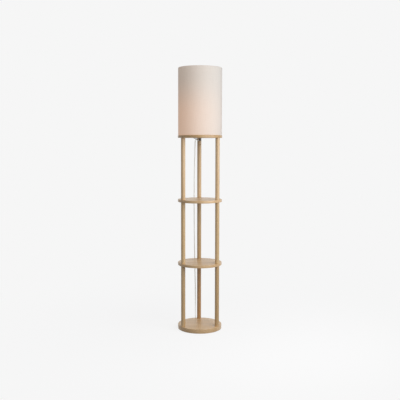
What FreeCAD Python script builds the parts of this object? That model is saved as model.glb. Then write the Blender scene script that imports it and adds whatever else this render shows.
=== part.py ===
import FreeCAD, Part
import math
import os

# Shelf floor lamp: three round posts carry a base, two open shelves and a top
# disc, and a drum shade stands on the top disc round a pull-chain lamp holder.
# Millimetres. Origin on the floor under the middle of the base, +Z up, one post
# at the back (+Y) and one at each side of the open front (-Y).

# ---- wooden stand ----
disc_diameter = 260.0
base_thickness = 25.0
shelf_thickness = 15.0
bay_height = 360.0            # clear height between one disc and the next
disc_edge_round = 1.5
post_diameter = 25.0
post_inset = 2.5              # from the discs' rim to a post
post_end_chamfer = 0.6
foot_diameter = 24.0
foot_height = 1.5
foot_inset = 14.0             # from the base's rim to a pad
wood_fit = 0.05               # radial room round a piece that is driven or screwed in

# ---- fasteners of the stand ----
thread_diameter = 6.0
thread_hole_diameter = 6.6
insert_diameter = 10.0
insert_length = 12.0
stud_grip = 10.0              # how far a stud or bolt reaches into an insert
bolt_head_diameter = 11.0
bolt_head_height = 3.6
hex_key_size = 4.0
hex_key_depth = 2.0
washer_diameter = 14.0
washer_thickness = 1.2
counterbore_diameter = 15.0
base_counterbore_depth = 8.0
top_counterbore_depth = 6.0

# ---- drum shade ----
shade_inset = 2.0             # from the top disc's rim to the shade
shade_height = 390.0
shade_lift = 0.2              # room between the shade's rim and the top disc
fabric_thickness = 0.6
liner_thickness = 0.4
shade_layer_gap = 0.1
ring_wire_diameter = 3.0
ring_wire_gap = 0.2
rim_lip = 8.0                 # fabric turned in over each wire ring
arm_wire_diameter = 3.6
arm_count = 3
arm_notch_room = 1.0
fitter_ring_diameter = 52.0
fitter_ring_thickness = 1.5

# ---- lamp holder ----
nipple_diameter = 10.0
nipple_bore = 7.0
nipple_rise = 8.0             # nipple above the top disc
nipple_drop = 9.0             # nipple below the top disc
nipple_washer_diameter = 24.0
nipple_nut_across_flats = 14.0
nipple_nut_height = 4.5
cap_diameter = 37.8
cap_height = 26.0
cap_foot_diameter = 26.0
cap_wall = 0.8
cap_floor = 2.0
shell_diameter = 36.0
shell_wall = 1.0
shell_overlap = 4.0           # shell pushed down into the cap
shell_height = 40.0
shoulder_rise = 7.0           # from the cap's rim to the top of the shell's shoulder
shoulder_diameter = 41.0
shoulder_thickness = 2.0
ring_nut_diameter = 46.0
ring_nut_height = 7.0
ring_nut_grips = 12
ring_nut_grip_radius = 1.6
holder_fit = 0.1              # radial room between the holder's nested pieces
insulator_height = 8.0
screw_shell_bore = 26.6
screw_shell_wall = 0.5
screw_shell_height = 25.0
sleeve_wall = 2.2
contact_diameter = 10.0
contact_thickness = 0.8
contact_rise = 2.0

# ---- bulb ----
bulb_cap_diameter = 26.0
bulb_cap_height = 23.0
bulb_cap_wall = 0.5
bulb_tip_height = 3.0
bulb_tip_diameter = 9.6
bulb_body_height = 45.0
bulb_neck_diameter = 28.0
bulb_diameter = 60.0
bulb_dome_height = 40.0
bulb_wall = 1.4
bulb_seam_gap = 0.1
led_plate_thickness = 1.6

# ---- pull chain ----
chain_reach = 24.0            # from the lamp's axis to the chain, towards the front
bead_diameter = 3.2
bead_pitch = 4.2
chain_wire_diameter = 0.9
chain_travel = 8.0
guide_bore = 4.4
guide_wall = 0.8
guide_bend_radius = 4.5
guide_height = 19.0           # axis of the guide's stub above the top disc
guide_mouth_height = 4.0
guide_mouth_flare = 1.4
eyelet_bore = 5.0
eyelet_wall = 1.4
eyelet_flange_diameter = 13.0
eyelet_flange_thickness = 1.0
swing_drop = 4.0              # swinging bead below the top disc
swing_gap = 0.3
tail_beads = 7
pull_end_diameter = 6.0
pull_end_length = 9.0

# ---- mains cord ----
cord_diameter = 5.6
outlet_drop = 13.0            # cord's axis below the top disc where it comes out
outlet_reach = 18.0
outlet_heading = 10.3         # degrees left of straight back
outlet_diameter = 15.0
outlet_height = 12.5
outlet_mouth_diameter = 7.6
outlet_root_diameter = 10.0
clip_width = 8.0
clip_wall = 1.3
clip_tab = 12.0
clip_inset = 22.0             # from the top disc's rim to the middle of the clip
clip_cord_drop = 5.3          # cord's axis below the top disc in the clip
clip_room = 0.35
screw_diameter = 2.9
screw_head_diameter = 5.6
screw_head_height = 1.8
screw_length = 12.0
coil_center = (20.0, 166.1)
coil_lift = 0.75              # thickness of the tie that the turns lie on
coil_outer_radius = 31.1
coil_turns = 2
coil_turn_pitch = 6.2
coil_layer_pitch = 6.2
coil_climb_turns = 0.5        # turn in which the cord climbs to the next layer
tie_thickness = 0.6
tie_width = 5.0
tie_room = 0.3
plug_heading = -20.0          # degrees from +X
plug_relief_length = 15.0
plug_relief_tip = 7.2
plug_relief_diameter = 9.0
plug_body_length = 25.0
plug_body_width = 20.0
plug_body_height = 13.9
plug_nose_width = 17.0
plug_nose_height = 12.5
blade_length = 16.5
blade_thickness = 1.5
blade_spacing = 12.7
narrow_blade_width = 6.3
wide_blade_width = 7.9
blade_root = 6.0
plug_fit = 0.05

# The cord's route from its outlet under the top disc, over the clip, down behind
# the shelves and round onto the floor, chosen by hand.
hanging_route = [
    (-3.22, 17.71, 1123.5), (-6.79, 37.39, 1123.5), (-10.4, 57.5, 1121.0),
    (-14.1, 77.8, 1124.2), (-17.7, 97.5, 1131.0), (-21.0, 115.6, 1131.3),
    (-23.6, 130.1, 1122.8), (-25.1, 138.5, 1108.1), (-25.9, 138.9, 1074.0),
    (-27.6, 138.7, 1012.0), (-30.0, 138.2, 905.0), (-30.6, 137.8, 745.0),
    (-29.6, 137.6, 565.0), (-26.8, 137.4, 395.0), (-23.4, 137.2, 255.0),
    (-22.2, 137.0, 150.0), (-22.6, 136.5, 98.0), (-22.7, 135.9, 60.0),
    (-22.4, 135.3, 26.8), (-13.9, 135.0, 12.05), (0.8, 135.0, 3.55),
    (14.4, 135.0, 3.55),
]
tail_route = [
    (25.6, 135.0, 9.75), (35.6, 135.0, 9.75), (45.0, 133.3, 7.05), (54.4, 129.88, 7.05),
]
route_arc_share = 0.45        # share of the shorter run that a corner's arc takes

# ---- places that follow ----
post_circle_radius = disc_diameter / 2 - post_inset - post_diameter / 2
foot_circle_radius = disc_diameter / 2 - foot_inset - foot_diameter / 2
shade_diameter = disc_diameter - 2 * shade_inset
base_top = foot_height + base_thickness
lower_shelf_bottom = base_top + bay_height
lower_shelf_top = lower_shelf_bottom + shelf_thickness
upper_shelf_bottom = lower_shelf_top + bay_height
upper_shelf_top = upper_shelf_bottom + shelf_thickness
top_disc_bottom = upper_shelf_top + bay_height
top_disc_top = top_disc_bottom + shelf_thickness
shade_bottom = top_disc_top + shade_lift
shade_top = shade_bottom + shade_height
guide_outer = guide_bore + 2 * guide_wall
clip_reach = disc_diameter / 2 - clip_inset
clip_screw_offset = cord_diameter / 2 + clip_room + clip_wall + clip_tab / 2
cap_rim = top_disc_top + cap_height
shell_bottom = cap_rim - shell_overlap
shoulder_top = cap_rim + shoulder_rise
insulator_bottom = shell_bottom + shell_wall
insulator_top = insulator_bottom + insulator_height
tip_bottom = insulator_top + contact_thickness + contact_rise + holder_fit
bulb_cap_bottom = tip_bottom + bulb_tip_height
bulb_cap_top = bulb_cap_bottom + bulb_cap_height
bulb_body_top = bulb_cap_top + bulb_body_height

POST_ANGLES = {"back": 90.0, "left": 210.0, "right": 330.0}
FOOT_ANGLES = (30.0, 150.0, 270.0)
EVERY_POST = tuple(POST_ANGLES.values())


def vector(x, y, z):
    return FreeCAD.Vector(x, y, z)


def around(radius, angle):
    """X and Y of a point on a circle about the lamp's axis."""
    turn = math.radians(angle)
    return radius * math.cos(turn), radius * math.sin(turn)


def cylinder(diameter, height, x, y, z):
    return Part.makeCylinder(diameter / 2, height, vector(x, y, z))


def hexagon(across_flats, height, x, y, z):
    corner = across_flats / 2 / math.cos(math.pi / 6)
    ring = [around(corner, 60.0 * k) for k in range(6)]
    outline = Part.makePolygon([vector(x + dx, y + dy, z) for dx, dy in ring + ring[:1]])
    return Part.Face(outline).extrude(vector(0, 0, height))


def turned(outline):
    """Revolve a closed outline of (radius, height) points about the lamp's axis.

    A pair of points stands for an arc: a point that it passes, then its end.
    """
    edges = []
    current = outline[0]
    for step in outline[1:] + [outline[0]]:
        is_arc = isinstance(step[0], tuple)
        end = step[1] if is_arc else step
        if end == current:
            continue
        here, there = vector(current[0], 0, current[1]), vector(end[0], 0, end[1])
        if is_arc:
            middle = vector(step[0][0], 0, step[0][1])
            edges.append(Part.Arc(here, middle, there).toShape())
        else:
            edges.append(Part.makeLine(here, there))
        current = end
    face = Part.Face(Part.Wire(edges))
    return face.revolve(vector(0, 0, 0), vector(0, 0, 1), 360)


def sleeve(outer_diameter, inner_diameter, height, z):
    outer, inner = outer_diameter / 2, inner_diameter / 2
    return turned([(inner, z), (outer, z), (outer, z + height), (inner, z + height)])


def save(name, shape):
    if not shape.isValid():
        raise ValueError(name + " is not a valid solid")
    shape.exportStep(os.path.join("parts", name + ".step"))
    print(name, len(shape.Solids), "solid(s),", round(shape.Volume / 1000, 2), "cm3")


# ---------------------------------------------------------------- wooden stand

def round_disc(thickness, z):
    radius, edge = disc_diameter / 2, disc_edge_round
    soft = edge * (1 - math.sqrt(0.5))
    return turned([
        (0, z),
        (radius - edge, z),
        ((radius - soft, z + soft), (radius, z + edge)),
        (radius, z + thickness - edge),
        ((radius - soft, z + thickness - soft), (radius - edge, z + thickness)),
        (0, z + thickness),
    ])


def drill(shape, diameter, radius, angles, z, depth):
    for angle in angles:
        x, y = around(radius, angle)
        shape = shape.cut(cylinder(diameter, depth, x, y, z))
    return shape


def base_disc():
    disc = round_disc(base_thickness, foot_height)
    circle = post_circle_radius
    disc = drill(disc, thread_hole_diameter, circle, EVERY_POST, foot_height, base_thickness)
    return drill(disc, counterbore_diameter, circle, EVERY_POST, foot_height, base_counterbore_depth)


def shelf(z):
    disc = round_disc(shelf_thickness, z)
    return drill(disc, thread_hole_diameter, post_circle_radius, EVERY_POST, z, shelf_thickness)


def top_disc():
    disc = shelf(top_disc_bottom)
    recess = top_disc_top - top_counterbore_depth
    disc = drill(disc, counterbore_diameter, post_circle_radius, EVERY_POST, recess, top_counterbore_depth)
    disc = disc.cut(cylinder(nipple_diameter + 2 * holder_fit, shelf_thickness, 0, 0, top_disc_bottom))
    eyelet_hole = eyelet_bore + 2 * eyelet_wall + 2 * wood_fit
    disc = disc.cut(cylinder(eyelet_hole, shelf_thickness, 0, -chain_reach, top_disc_bottom))
    x, y = clip_screw_place()
    pilot = screw_diameter + 2 * wood_fit
    return disc.cut(cylinder(pilot, screw_length - clip_wall, x, y, top_disc_bottom))


def post(angle, z):
    """One post, bored at both ends for its threaded insert and the stud's tip."""
    x, y = around(post_circle_radius, angle)
    radius = post_diameter / 2
    chamfer = post_end_chamfer
    body = turned([
        (0, z),
        (radius - chamfer, z),
        (radius, z + chamfer),
        (radius, z + bay_height - chamfer),
        (radius - chamfer, z + bay_height),
        (0, z + bay_height),
    ])
    body.translate(vector(x, y, 0))
    bore = insert_diameter + 2 * wood_fit
    for end in (z, z + bay_height - insert_length):
        body = body.cut(cylinder(bore, insert_length, x, y, end))
    return body


def post_inserts():
    """Two threaded inserts for each of the nine posts."""
    inserts = []
    bore = thread_diameter + 2 * wood_fit
    for floor in (base_top, lower_shelf_top, upper_shelf_top):
        for end in (floor, floor + bay_height - insert_length):
            for angle in EVERY_POST:
                x, y = around(post_circle_radius, angle)
                insert = sleeve(insert_diameter, bore, insert_length, end)
                insert.translate(vector(x, y, 0))
                inserts.append(insert)
    return Part.makeCompound(inserts)


def post_studs():
    """A threaded stud through each shelf at each post."""
    studs = []
    length = shelf_thickness + 2 * stud_grip
    for z in (lower_shelf_bottom, upper_shelf_bottom):
        for angle in EVERY_POST:
            x, y = around(post_circle_radius, angle)
            studs.append(cylinder(thread_diameter, length, x, y, z - stud_grip))
    return Part.makeCompound(studs)


def washers(z):
    rings = []
    for angle in EVERY_POST:
        x, y = around(post_circle_radius, angle)
        ring = sleeve(washer_diameter, thread_hole_diameter, washer_thickness, z)
        ring.translate(vector(x, y, 0))
        rings.append(ring)
    return Part.makeCompound(rings)


def bolts(seat, head_side, grip_end):
    """Socket-head bolts: seat is where the head bears, grip_end the shank's tip."""
    made = []
    for angle in EVERY_POST:
        x, y = around(post_circle_radius, angle)
        shank = cylinder(thread_diameter, abs(grip_end - seat), x, y, min(seat, grip_end))
        head_z = seat if head_side > 0 else seat - bolt_head_height
        head = cylinder(bolt_head_diameter, bolt_head_height, x, y, head_z)
        key_z = seat + head_side * bolt_head_height - (hex_key_depth if head_side > 0 else 0)
        key = hexagon(hex_key_size, hex_key_depth, x, y, key_z)
        made.append(shank.fuse(head).removeSplitter().cut(key))
    return Part.makeCompound(made)


def foot_pads():
    pads = []
    for angle in FOOT_ANGLES:
        x, y = around(foot_circle_radius, angle)
        pads.append(cylinder(foot_diameter, foot_height, x, y, 0))
    return Part.makeCompound(pads)


# ------------------------------------------------------------------ drum shade

fold_inner_radius = (liner_thickness + shade_layer_gap + ring_wire_diameter) / 2 + 2 * ring_wire_gap
fold_outer_radius = fold_inner_radius + fabric_thickness
fold_center_radius = shade_diameter / 2 - fold_outer_radius
liner_outer = shade_diameter / 2 - fabric_thickness - shade_layer_gap
ring_radius = liner_outer - liner_thickness - ring_wire_gap - ring_wire_diameter / 2
lower_ring_z = shade_bottom + fold_outer_radius
upper_ring_z = shade_top - fold_outer_radius


def arm_angle(number):
    """Direction of one arm; the first runs to the front, between two posts."""
    return 270.0 + 360.0 * number / arm_count


def shade_fabric():
    """The drum's cloth, turned in over the two wire rings."""
    outer, inner = fold_outer_radius, fold_inner_radius
    middle = fold_center_radius
    low, high = lower_ring_z, upper_ring_z
    drum = turned([
        (middle + outer, low),
        (middle + outer, high),
        ((middle, high + outer), (middle - outer, high)),
        (middle - outer, high - rim_lip),
        (middle - inner, high - rim_lip),
        (middle - inner, high),
        ((middle, high + inner), (middle + inner, high)),
        (middle + inner, low),
        ((middle, low - inner), (middle - inner, low)),
        (middle - inner, low + rim_lip),
        (middle - outer, low + rim_lip),
        (middle - outer, low),
        ((middle, low - outer), (middle + outer, low)),
    ])
    notch = arm_wire_diameter + 2 * arm_notch_room
    for number in range(arm_count):
        cutter = Part.makeBox(2 * outer, notch, 2 * outer + rim_lip)
        cutter.translate(vector(middle - 2 * outer, -notch / 2, low - 2 * outer))
        cutter.rotate(vector(0, 0, 0), vector(0, 0, 1), arm_angle(number))
        drum = drum.cut(cutter)
    return drum


def shade_liner():
    liner_inner = liner_outer - liner_thickness
    return sleeve(2 * liner_outer, 2 * liner_inner, upper_ring_z - lower_ring_z, lower_ring_z)


def wire_ring(z):
    return Part.makeTorus(ring_radius, ring_wire_diameter / 2, vector(0, 0, z))


def shade_spider():
    """Lower wire ring, arms and fitter ring, welded into one frame."""
    fitter_bottom = shoulder_top + holder_fit
    hole = shell_diameter + 4 * holder_fit
    frame = sleeve(fitter_ring_diameter, hole, fitter_ring_thickness, fitter_bottom)
    frame = frame.fuse(wire_ring(lower_ring_z))
    inner_end = fitter_ring_diameter / 2 - arm_wire_diameter / 4
    inner_height = fitter_bottom + fitter_ring_thickness / 2
    arm_lift = (arm_wire_diameter - ring_wire_diameter) / 2
    for number in range(arm_count):
        x, y = around(1.0, arm_angle(number))
        start = vector(x * ring_radius, y * ring_radius, lower_ring_z + arm_lift)
        end = vector(x * inner_end, y * inner_end, inner_height)
        run = end - start
        arm = Part.makeCylinder(arm_wire_diameter / 2, run.Length, start, run)
        spare = sleeve(2 * (ring_radius + arm_wire_diameter), 2 * ring_radius, 2 * arm_wire_diameter,
                       lower_ring_z - arm_wire_diameter)
        frame = frame.fuse(arm.cut(spare))
    return frame.removeSplitter()


# ----------------------------------------------------------------- lamp holder

def nipple():
    return sleeve(nipple_diameter, nipple_bore, nipple_drop + shelf_thickness + nipple_rise,
                  top_disc_bottom - nipple_drop)


def nipple_washer():
    return sleeve(nipple_washer_diameter, nipple_diameter + 2 * holder_fit, washer_thickness,
                  top_disc_bottom - washer_thickness)


def nipple_nut():
    z = top_disc_bottom - washer_thickness - nipple_nut_height
    nut = hexagon(nipple_nut_across_flats, nipple_nut_height, 0, 0, z)
    return nut.cut(cylinder(nipple_diameter + 2 * wood_fit, nipple_nut_height, 0, 0, z))


def holder_cap():
    """Turned cup that stands on the top disc, with a port for the chain guide."""
    z, rim = top_disc_top, cap_rim
    outer, foot, wall = cap_diameter / 2, cap_foot_diameter / 2, cap_wall
    bore = nipple_diameter / 2 + wood_fit
    flare = outer - foot
    lean = flare * (1 - math.sqrt(0.5))
    cup = turned([
        (bore, z),
        (foot, z),
        ((outer - lean, z + lean), (outer, z + flare)),
        (outer, rim),
        (outer - wall, rim),
        (outer - wall, z + flare),
        ((outer - lean - wall * math.sqrt(0.5), z + lean + wall * math.sqrt(0.5)), (foot, z + wall)),
        (bore + cap_floor, z + wall),
        (bore + cap_floor, z + nipple_rise),
        (bore, z + nipple_rise),
    ])
    port_center = vector(0, 0, z + guide_height)
    port = Part.makeCylinder(guide_outer / 2 + wood_fit, cap_diameter, port_center, vector(0, -1, 0))
    return cup.cut(port)


def holder_shell():
    """Outer shell with the shoulder that carries the shade's fitter ring."""
    outer, inner = shell_diameter / 2, shell_diameter / 2 - shell_wall
    shoulder = shoulder_diameter / 2
    top = shell_bottom + shell_height
    return turned([
        (outer, shell_bottom),
        (outer, shoulder_top - shoulder_thickness),
        (shoulder, shoulder_top - shoulder_thickness),
        (shoulder, shoulder_top),
        (outer, shoulder_top),
        (outer, top),
        (inner, top),
        (inner, insulator_bottom),
        (nipple_diameter / 2, insulator_bottom),
        (nipple_diameter / 2, shell_bottom),
    ])


def holder_ring_nut():
    """Ring nut that clamps the fitter ring, with grips round its edge."""
    z = shoulder_top + holder_fit + fitter_ring_thickness + holder_fit
    nut = sleeve(ring_nut_diameter, shell_diameter + 2 * holder_fit, ring_nut_height, z)
    for number in range(ring_nut_grips):
        x, y = around(ring_nut_diameter / 2, 360.0 * number / ring_nut_grips)
        nut = nut.cut(cylinder(2 * ring_nut_grip_radius, ring_nut_height, x, y, z))
    return nut


def switch_block():
    """Insulating block of the pull switch, inside the cap."""
    z = top_disc_top + nipple_rise + contact_thickness
    height = shell_bottom - holder_fit - z
    block = cylinder(cap_diameter - 2 * cap_wall - 2 * contact_rise, height, 0, 0, z)
    wire_way = cylinder(nipple_bore, height, 0, 0, z)
    slot = Part.makeBox(guide_outer + 2 * holder_fit, cap_diameter, height)
    slot.translate(vector(-guide_outer / 2 - holder_fit, -cap_diameter - nipple_diameter, z))
    return block.cut(wire_way).cut(slot)


def holder_insulator():
    diameter = shell_diameter - 2 * shell_wall - 2 * holder_fit
    return sleeve(diameter, nipple_bore - 2.0 * contact_thickness, insulator_height, insulator_bottom)


def screw_shell():
    outer_diameter = screw_shell_bore + 2 * screw_shell_wall
    return sleeve(outer_diameter, screw_shell_bore, screw_shell_height, insulator_top)


def holder_sleeve():
    inner = screw_shell_bore + 2 * screw_shell_wall + 2 * holder_fit
    return sleeve(inner + 2 * sleeve_wall, inner, screw_shell_height, insulator_top)


def centre_contact():
    """Sprung contact: a flat foot and a tongue that rises to the bulb's tip."""
    foot = cylinder(contact_diameter, contact_thickness, 0, 0, insulator_top)
    tongue = turned([
        (0, insulator_top),
        (contact_diameter / 4, insulator_top),
        (contact_diameter / 8, insulator_top + contact_thickness + contact_rise),
        (0, insulator_top + contact_thickness + contact_rise),
    ])
    return foot.fuse(tongue).removeSplitter()


def bulb_tip():
    radius = bulb_tip_diameter / 2
    return turned([
        (0, tip_bottom),
        (radius / 2, tip_bottom),
        (radius, tip_bottom + bulb_tip_height / 2),
        (radius, bulb_cap_bottom + bulb_cap_wall),
        (0, bulb_cap_bottom + bulb_cap_wall),
    ])


def bulb_cap():
    outer = bulb_cap_diameter / 2
    hole = bulb_tip_diameter / 2 + wood_fit
    lean = bulb_tip_height
    return turned([
        (hole, bulb_cap_bottom),
        (outer - lean, bulb_cap_bottom),
        (outer, bulb_cap_bottom + lean),
        (outer, bulb_cap_top),
        (outer - bulb_cap_wall, bulb_cap_top),
        (outer - bulb_cap_wall, bulb_cap_bottom + lean),
        (outer - lean, bulb_cap_bottom + bulb_cap_wall),
        (hole, bulb_cap_bottom + bulb_cap_wall),
    ])


def bulb_body():
    """Flared housing between the screw cap and the globe."""
    low = bulb_cap_top + bulb_seam_gap
    high = bulb_body_top
    neck, rim = bulb_neck_diameter / 2, bulb_diameter / 2
    wall = bulb_wall
    waist = (neck + (rim - neck) * 0.36, (low + high) / 2)
    return turned([
        (neck - wall, low),
        (neck, low),
        (waist, (rim, high)),
        (rim - wall, high),
        ((waist[0] - wall, waist[1]), (neck - wall, low)),
    ])


def bulb_globe():
    low = bulb_body_top + bulb_seam_gap
    radius, rise, wall = bulb_diameter / 2, bulb_dome_height, bulb_wall
    straight = rise - radius
    turn = math.sqrt(0.5)
    inner = radius - wall
    return turned([
        (radius, low),
        (radius, low + straight),
        ((radius * turn, low + straight + radius * turn), (0, low + rise)),
        (0, low + rise - wall),
        ((inner * turn, low + straight + inner * turn), (inner, low + straight)),
        (inner, low),
    ])


def led_plate():
    diameter = bulb_diameter - 2 * bulb_wall - 2 * holder_fit
    return cylinder(diameter, led_plate_thickness, 0, 0, bulb_body_top + bulb_seam_gap)


# ------------------------------------------------------------------ pull chain

def chain_guide():
    """Bell-mouthed elbow that turns the chain down over the top disc."""
    level = top_disc_top + guide_height
    bend = guide_bend_radius
    start = cap_diameter / 2 - cap_wall - contact_rise
    knee = chain_reach - bend
    turn = bend * math.sqrt(0.5)
    mouth = top_disc_top + guide_mouth_height
    path = Part.Wire([
        Part.makeLine(vector(0, -start, level), vector(0, -knee, level)),
        Part.Arc(vector(0, -knee, level), vector(0, -knee - turn, level - bend + turn),
                 vector(0, -chain_reach, level - bend)).toShape(),
        Part.makeLine(vector(0, -chain_reach, level - bend), vector(0, -chain_reach, mouth)),
    ])
    walls = []
    for diameter in (guide_outer, guide_bore):
        circle = Part.makeCircle(diameter / 2, vector(0, -start, level), vector(0, -1, 0))
        walls.append(path.makePipeShell([Part.Wire(circle)], True, False))
    outer, inner = walls
    flare = guide_mouth_flare
    place = vector(0, -chain_reach, mouth)
    bell = Part.makeCone(guide_outer / 2 + flare, guide_outer / 2, 2 * flare, place)
    throat = Part.makeCone(guide_bore / 2 + flare, guide_bore / 2, 2 * flare, place)
    return outer.fuse(bell).cut(inner).cut(throat).removeSplitter()


def chain_eyelet():
    """Flanged eyelet pressed into the top disc from below."""
    z = top_disc_bottom
    bore, outer, flange = eyelet_bore / 2, eyelet_bore / 2 + eyelet_wall, eyelet_flange_diameter / 2
    eyelet = turned([
        (bore, z - eyelet_flange_thickness),
        (flange, z - eyelet_flange_thickness),
        (flange, z),
        (outer, z),
        (outer, top_disc_top),
        (bore, top_disc_top),
    ])
    eyelet.translate(vector(0, -chain_reach, 0))
    return eyelet


def bead_string(highest, lowest, bead_heights):
    """Beads on their wire, from one end of the wire to the other."""
    string = cylinder(chain_wire_diameter, highest - lowest, 0, -chain_reach, lowest)
    for z in bead_heights:
        string = string.fuse(Part.makeSphere(bead_diameter / 2, vector(0, -chain_reach, z)))
    return string


swing_z = top_disc_bottom - swing_drop
swing_clear = bead_diameter / 2 + swing_gap


def chain_upper():
    """Stretch that slides in the guide and the eyelet."""
    top_end = top_disc_top + guide_mouth_height + chain_travel + bead_diameter / 2
    count = int((top_end - bead_diameter / 2 - swing_z) / bead_pitch)
    heights = [swing_z + bead_pitch * (k + 1) for k in range(count)]
    return bead_string(heights[-1], swing_z + swing_clear, heights)


def chain_swivel():
    """The one bead that the hanging end swings about."""
    return Part.makeSphere(bead_diameter / 2, vector(0, -chain_reach, swing_z))


def tail_end_z():
    return swing_z - bead_pitch * tail_beads


def chain_tail():
    heights = [swing_z - bead_pitch * (k + 1) for k in range(tail_beads)]
    return bead_string(swing_z - swing_clear, heights[-1], heights)


def pull_end():
    """Turned drop that hangs on the last bead."""
    radius = pull_end_diameter / 2
    top = tail_end_z() - bead_diameter / 2 - holder_fit
    low = top - pull_end_length
    drop = turned([
        (0, low),
        ((radius * 0.8, low + radius * 0.4), (radius, low + radius)),
        (radius, low + pull_end_length * 0.55),
        (radius * 0.55, top),
        (0, top),
    ])
    drop.translate(vector(0, -chain_reach, 0))
    return drop


# ------------------------------------------------------------------ mains cord

def along(heading, distance, z):
    """A point at a distance from the lamp's axis, heading degrees left of +Y."""
    turn = math.radians(heading)
    return vector(-distance * math.sin(turn), distance * math.cos(turn), z)


def cord_outlet():
    """Right-angle outlet screwed on the nipple, with a tapered strain relief."""
    top = top_disc_bottom - washer_thickness - nipple_nut_height - holder_fit
    level = top_disc_bottom - outlet_drop
    body = cylinder(outlet_diameter, outlet_height, 0, 0, top - outlet_height)
    nozzle = Part.makeCone(outlet_root_diameter / 2, outlet_mouth_diameter / 2, outlet_reach,
                           vector(0, 0, level), along(outlet_heading, 1.0, 0))
    socket_end = top_disc_bottom - nipple_drop - holder_fit
    socket = cylinder(nipple_diameter + 2 * wood_fit, top - socket_end, 0, 0, socket_end)
    return body.fuse(nozzle).cut(socket).removeSplitter()


def clip_screw_place():
    turn = math.radians(outlet_heading)
    middle = along(outlet_heading, clip_reach, 0)
    across, back = clip_screw_offset * math.cos(turn), clip_screw_offset * math.sin(turn)
    return middle.x - across, middle.y - back


def cord_clip():
    """Saddle clip: a band under the cord and a tab screwed to the top disc."""
    inner = cord_diameter / 2 + clip_room
    outer = inner + clip_wall
    half = clip_width / 2
    drop = clip_cord_drop
    band = Part.makeCylinder(outer, clip_width, vector(0, -half, -drop), vector(0, 1, 0))
    legs = Part.makeBox(2 * outer, clip_width, drop)
    legs.translate(vector(-outer, -half, -drop))
    tab = Part.makeBox(clip_tab + clip_wall, clip_width, clip_wall)
    tab.translate(vector(-outer - clip_tab, -half, -clip_wall))
    clip = band.fuse(legs).fuse(tab)
    way = Part.makeCylinder(inner, clip_width, vector(0, -half, -drop), vector(0, 1, 0))
    room = Part.makeBox(2 * inner, clip_width, drop)
    room.translate(vector(-inner, -half, -drop))
    clip = clip.cut(way).cut(room)
    screw_hole = screw_diameter + 2 * holder_fit
    clip = clip.cut(cylinder(screw_hole, clip_wall, -clip_screw_offset, 0, -clip_wall))
    clip = clip.removeSplitter()
    clip.rotate(vector(0, 0, 0), vector(0, 0, 1), outlet_heading)
    clip.translate(along(outlet_heading, clip_reach, top_disc_bottom))
    return clip


def clip_screw():
    x, y = clip_screw_place()
    seat = top_disc_bottom - clip_wall
    shank = cylinder(screw_diameter, screw_length - wood_fit, x, y, seat)
    head = cylinder(screw_head_diameter, screw_head_height, x, y, seat - screw_head_height)
    return shank.fuse(head).removeSplitter()


def bent_path(name, points):
    """Straight runs joined by tangent arcs, each as large as its two runs allow."""
    corners = [vector(*point) for point in points]
    edges = []
    radii = []
    here = corners[0]
    for before, corner, after in zip(corners, corners[1:], corners[2:]):
        arriving = (corner - before).normalize()
        leaving = (after - corner).normalize()
        half_turn = arriving.getAngle(leaving) / 2
        reach = route_arc_share * min((corner - before).Length, (after - corner).Length)
        radius = reach / math.tan(half_turn)
        inward = (leaving - arriving).normalize()
        start = corner - arriving * reach
        end = corner + leaving * reach
        middle = corner + inward * (radius / math.cos(half_turn) - radius)
        edges.append(Part.makeLine(here, start))
        edges.append(Part.Arc(start, middle, end).toShape())
        radii.append(round(radius, 1))
        here = end
    edges.append(Part.makeLine(here, corners[-1]))
    path = Part.Wire(edges)
    print(name, "radii", radii, "length", round(path.Length, 1))
    return path


def cord_tube(name, path, start, direction):
    circle = Part.makeCircle(cord_diameter / 2, start, direction)
    tube = path.makePipeShell([Part.Wire(circle)], True, False)
    expected = math.pi * (cord_diameter / 2) ** 2 * path.Length
    print(name, "volume over section times length", round(tube.Volume / expected, 4))
    return tube


def routed_cord(name, points):
    path = bent_path(name, points)
    start = vector(*points[0])
    return cord_tube(name, path, start, vector(*points[1]) - start)


def coil_point(turns):
    """Centre of the coiled cord after some turns: in one layer, back out the next."""
    half = coil_turns / 2
    radius = coil_outer_radius - coil_turn_pitch * (half - abs(turns - half))
    climbed = min(max((turns - half) / coil_climb_turns + 0.5, 0.0), 1.0)
    height = coil_lift + cord_diameter / 2 + coil_layer_pitch * climbed
    angle = 2 * math.pi * turns - math.pi / 2
    x, y = coil_center
    return vector(x + radius * math.cos(angle), y + radius * math.sin(angle), height)


def coil_direction(turns):
    """Direction of the cord there, level and square to the radius at both ends."""
    if turns in (0, coil_turns):
        return vector(1, 0, 0)
    step = 0.01
    return (coil_point(turns + step) - coil_point(turns - step)).normalize()


def tangent_arc(start, direction, end):
    chord = end - start
    along_chord = direction.dot(chord) / chord.Length
    across = direction - chord * (along_chord / chord.Length)
    half_turn = direction.getAngle(chord)
    bulge = chord.Length / 2 * math.tan(half_turn / 2)
    middle = (start + end) * 0.5 + across.normalize() * bulge
    return Part.Arc(start, middle, end).toShape()


def biarc(start, leaving, end, arriving):
    """Two tangent arcs between two points with given directions."""
    gap = end - start
    both = leaving + arriving
    spread = 2 * (1 - leaving.dot(arriving))
    share = (-gap.dot(both) + math.sqrt(gap.dot(both) ** 2 + spread * gap.dot(gap))) / spread
    joint = (start + end + (leaving - arriving) * share) * 0.5
    first = tangent_arc(start, leaving, joint)
    second = tangent_arc(end, arriving * -1, joint)
    return [first, second]


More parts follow.
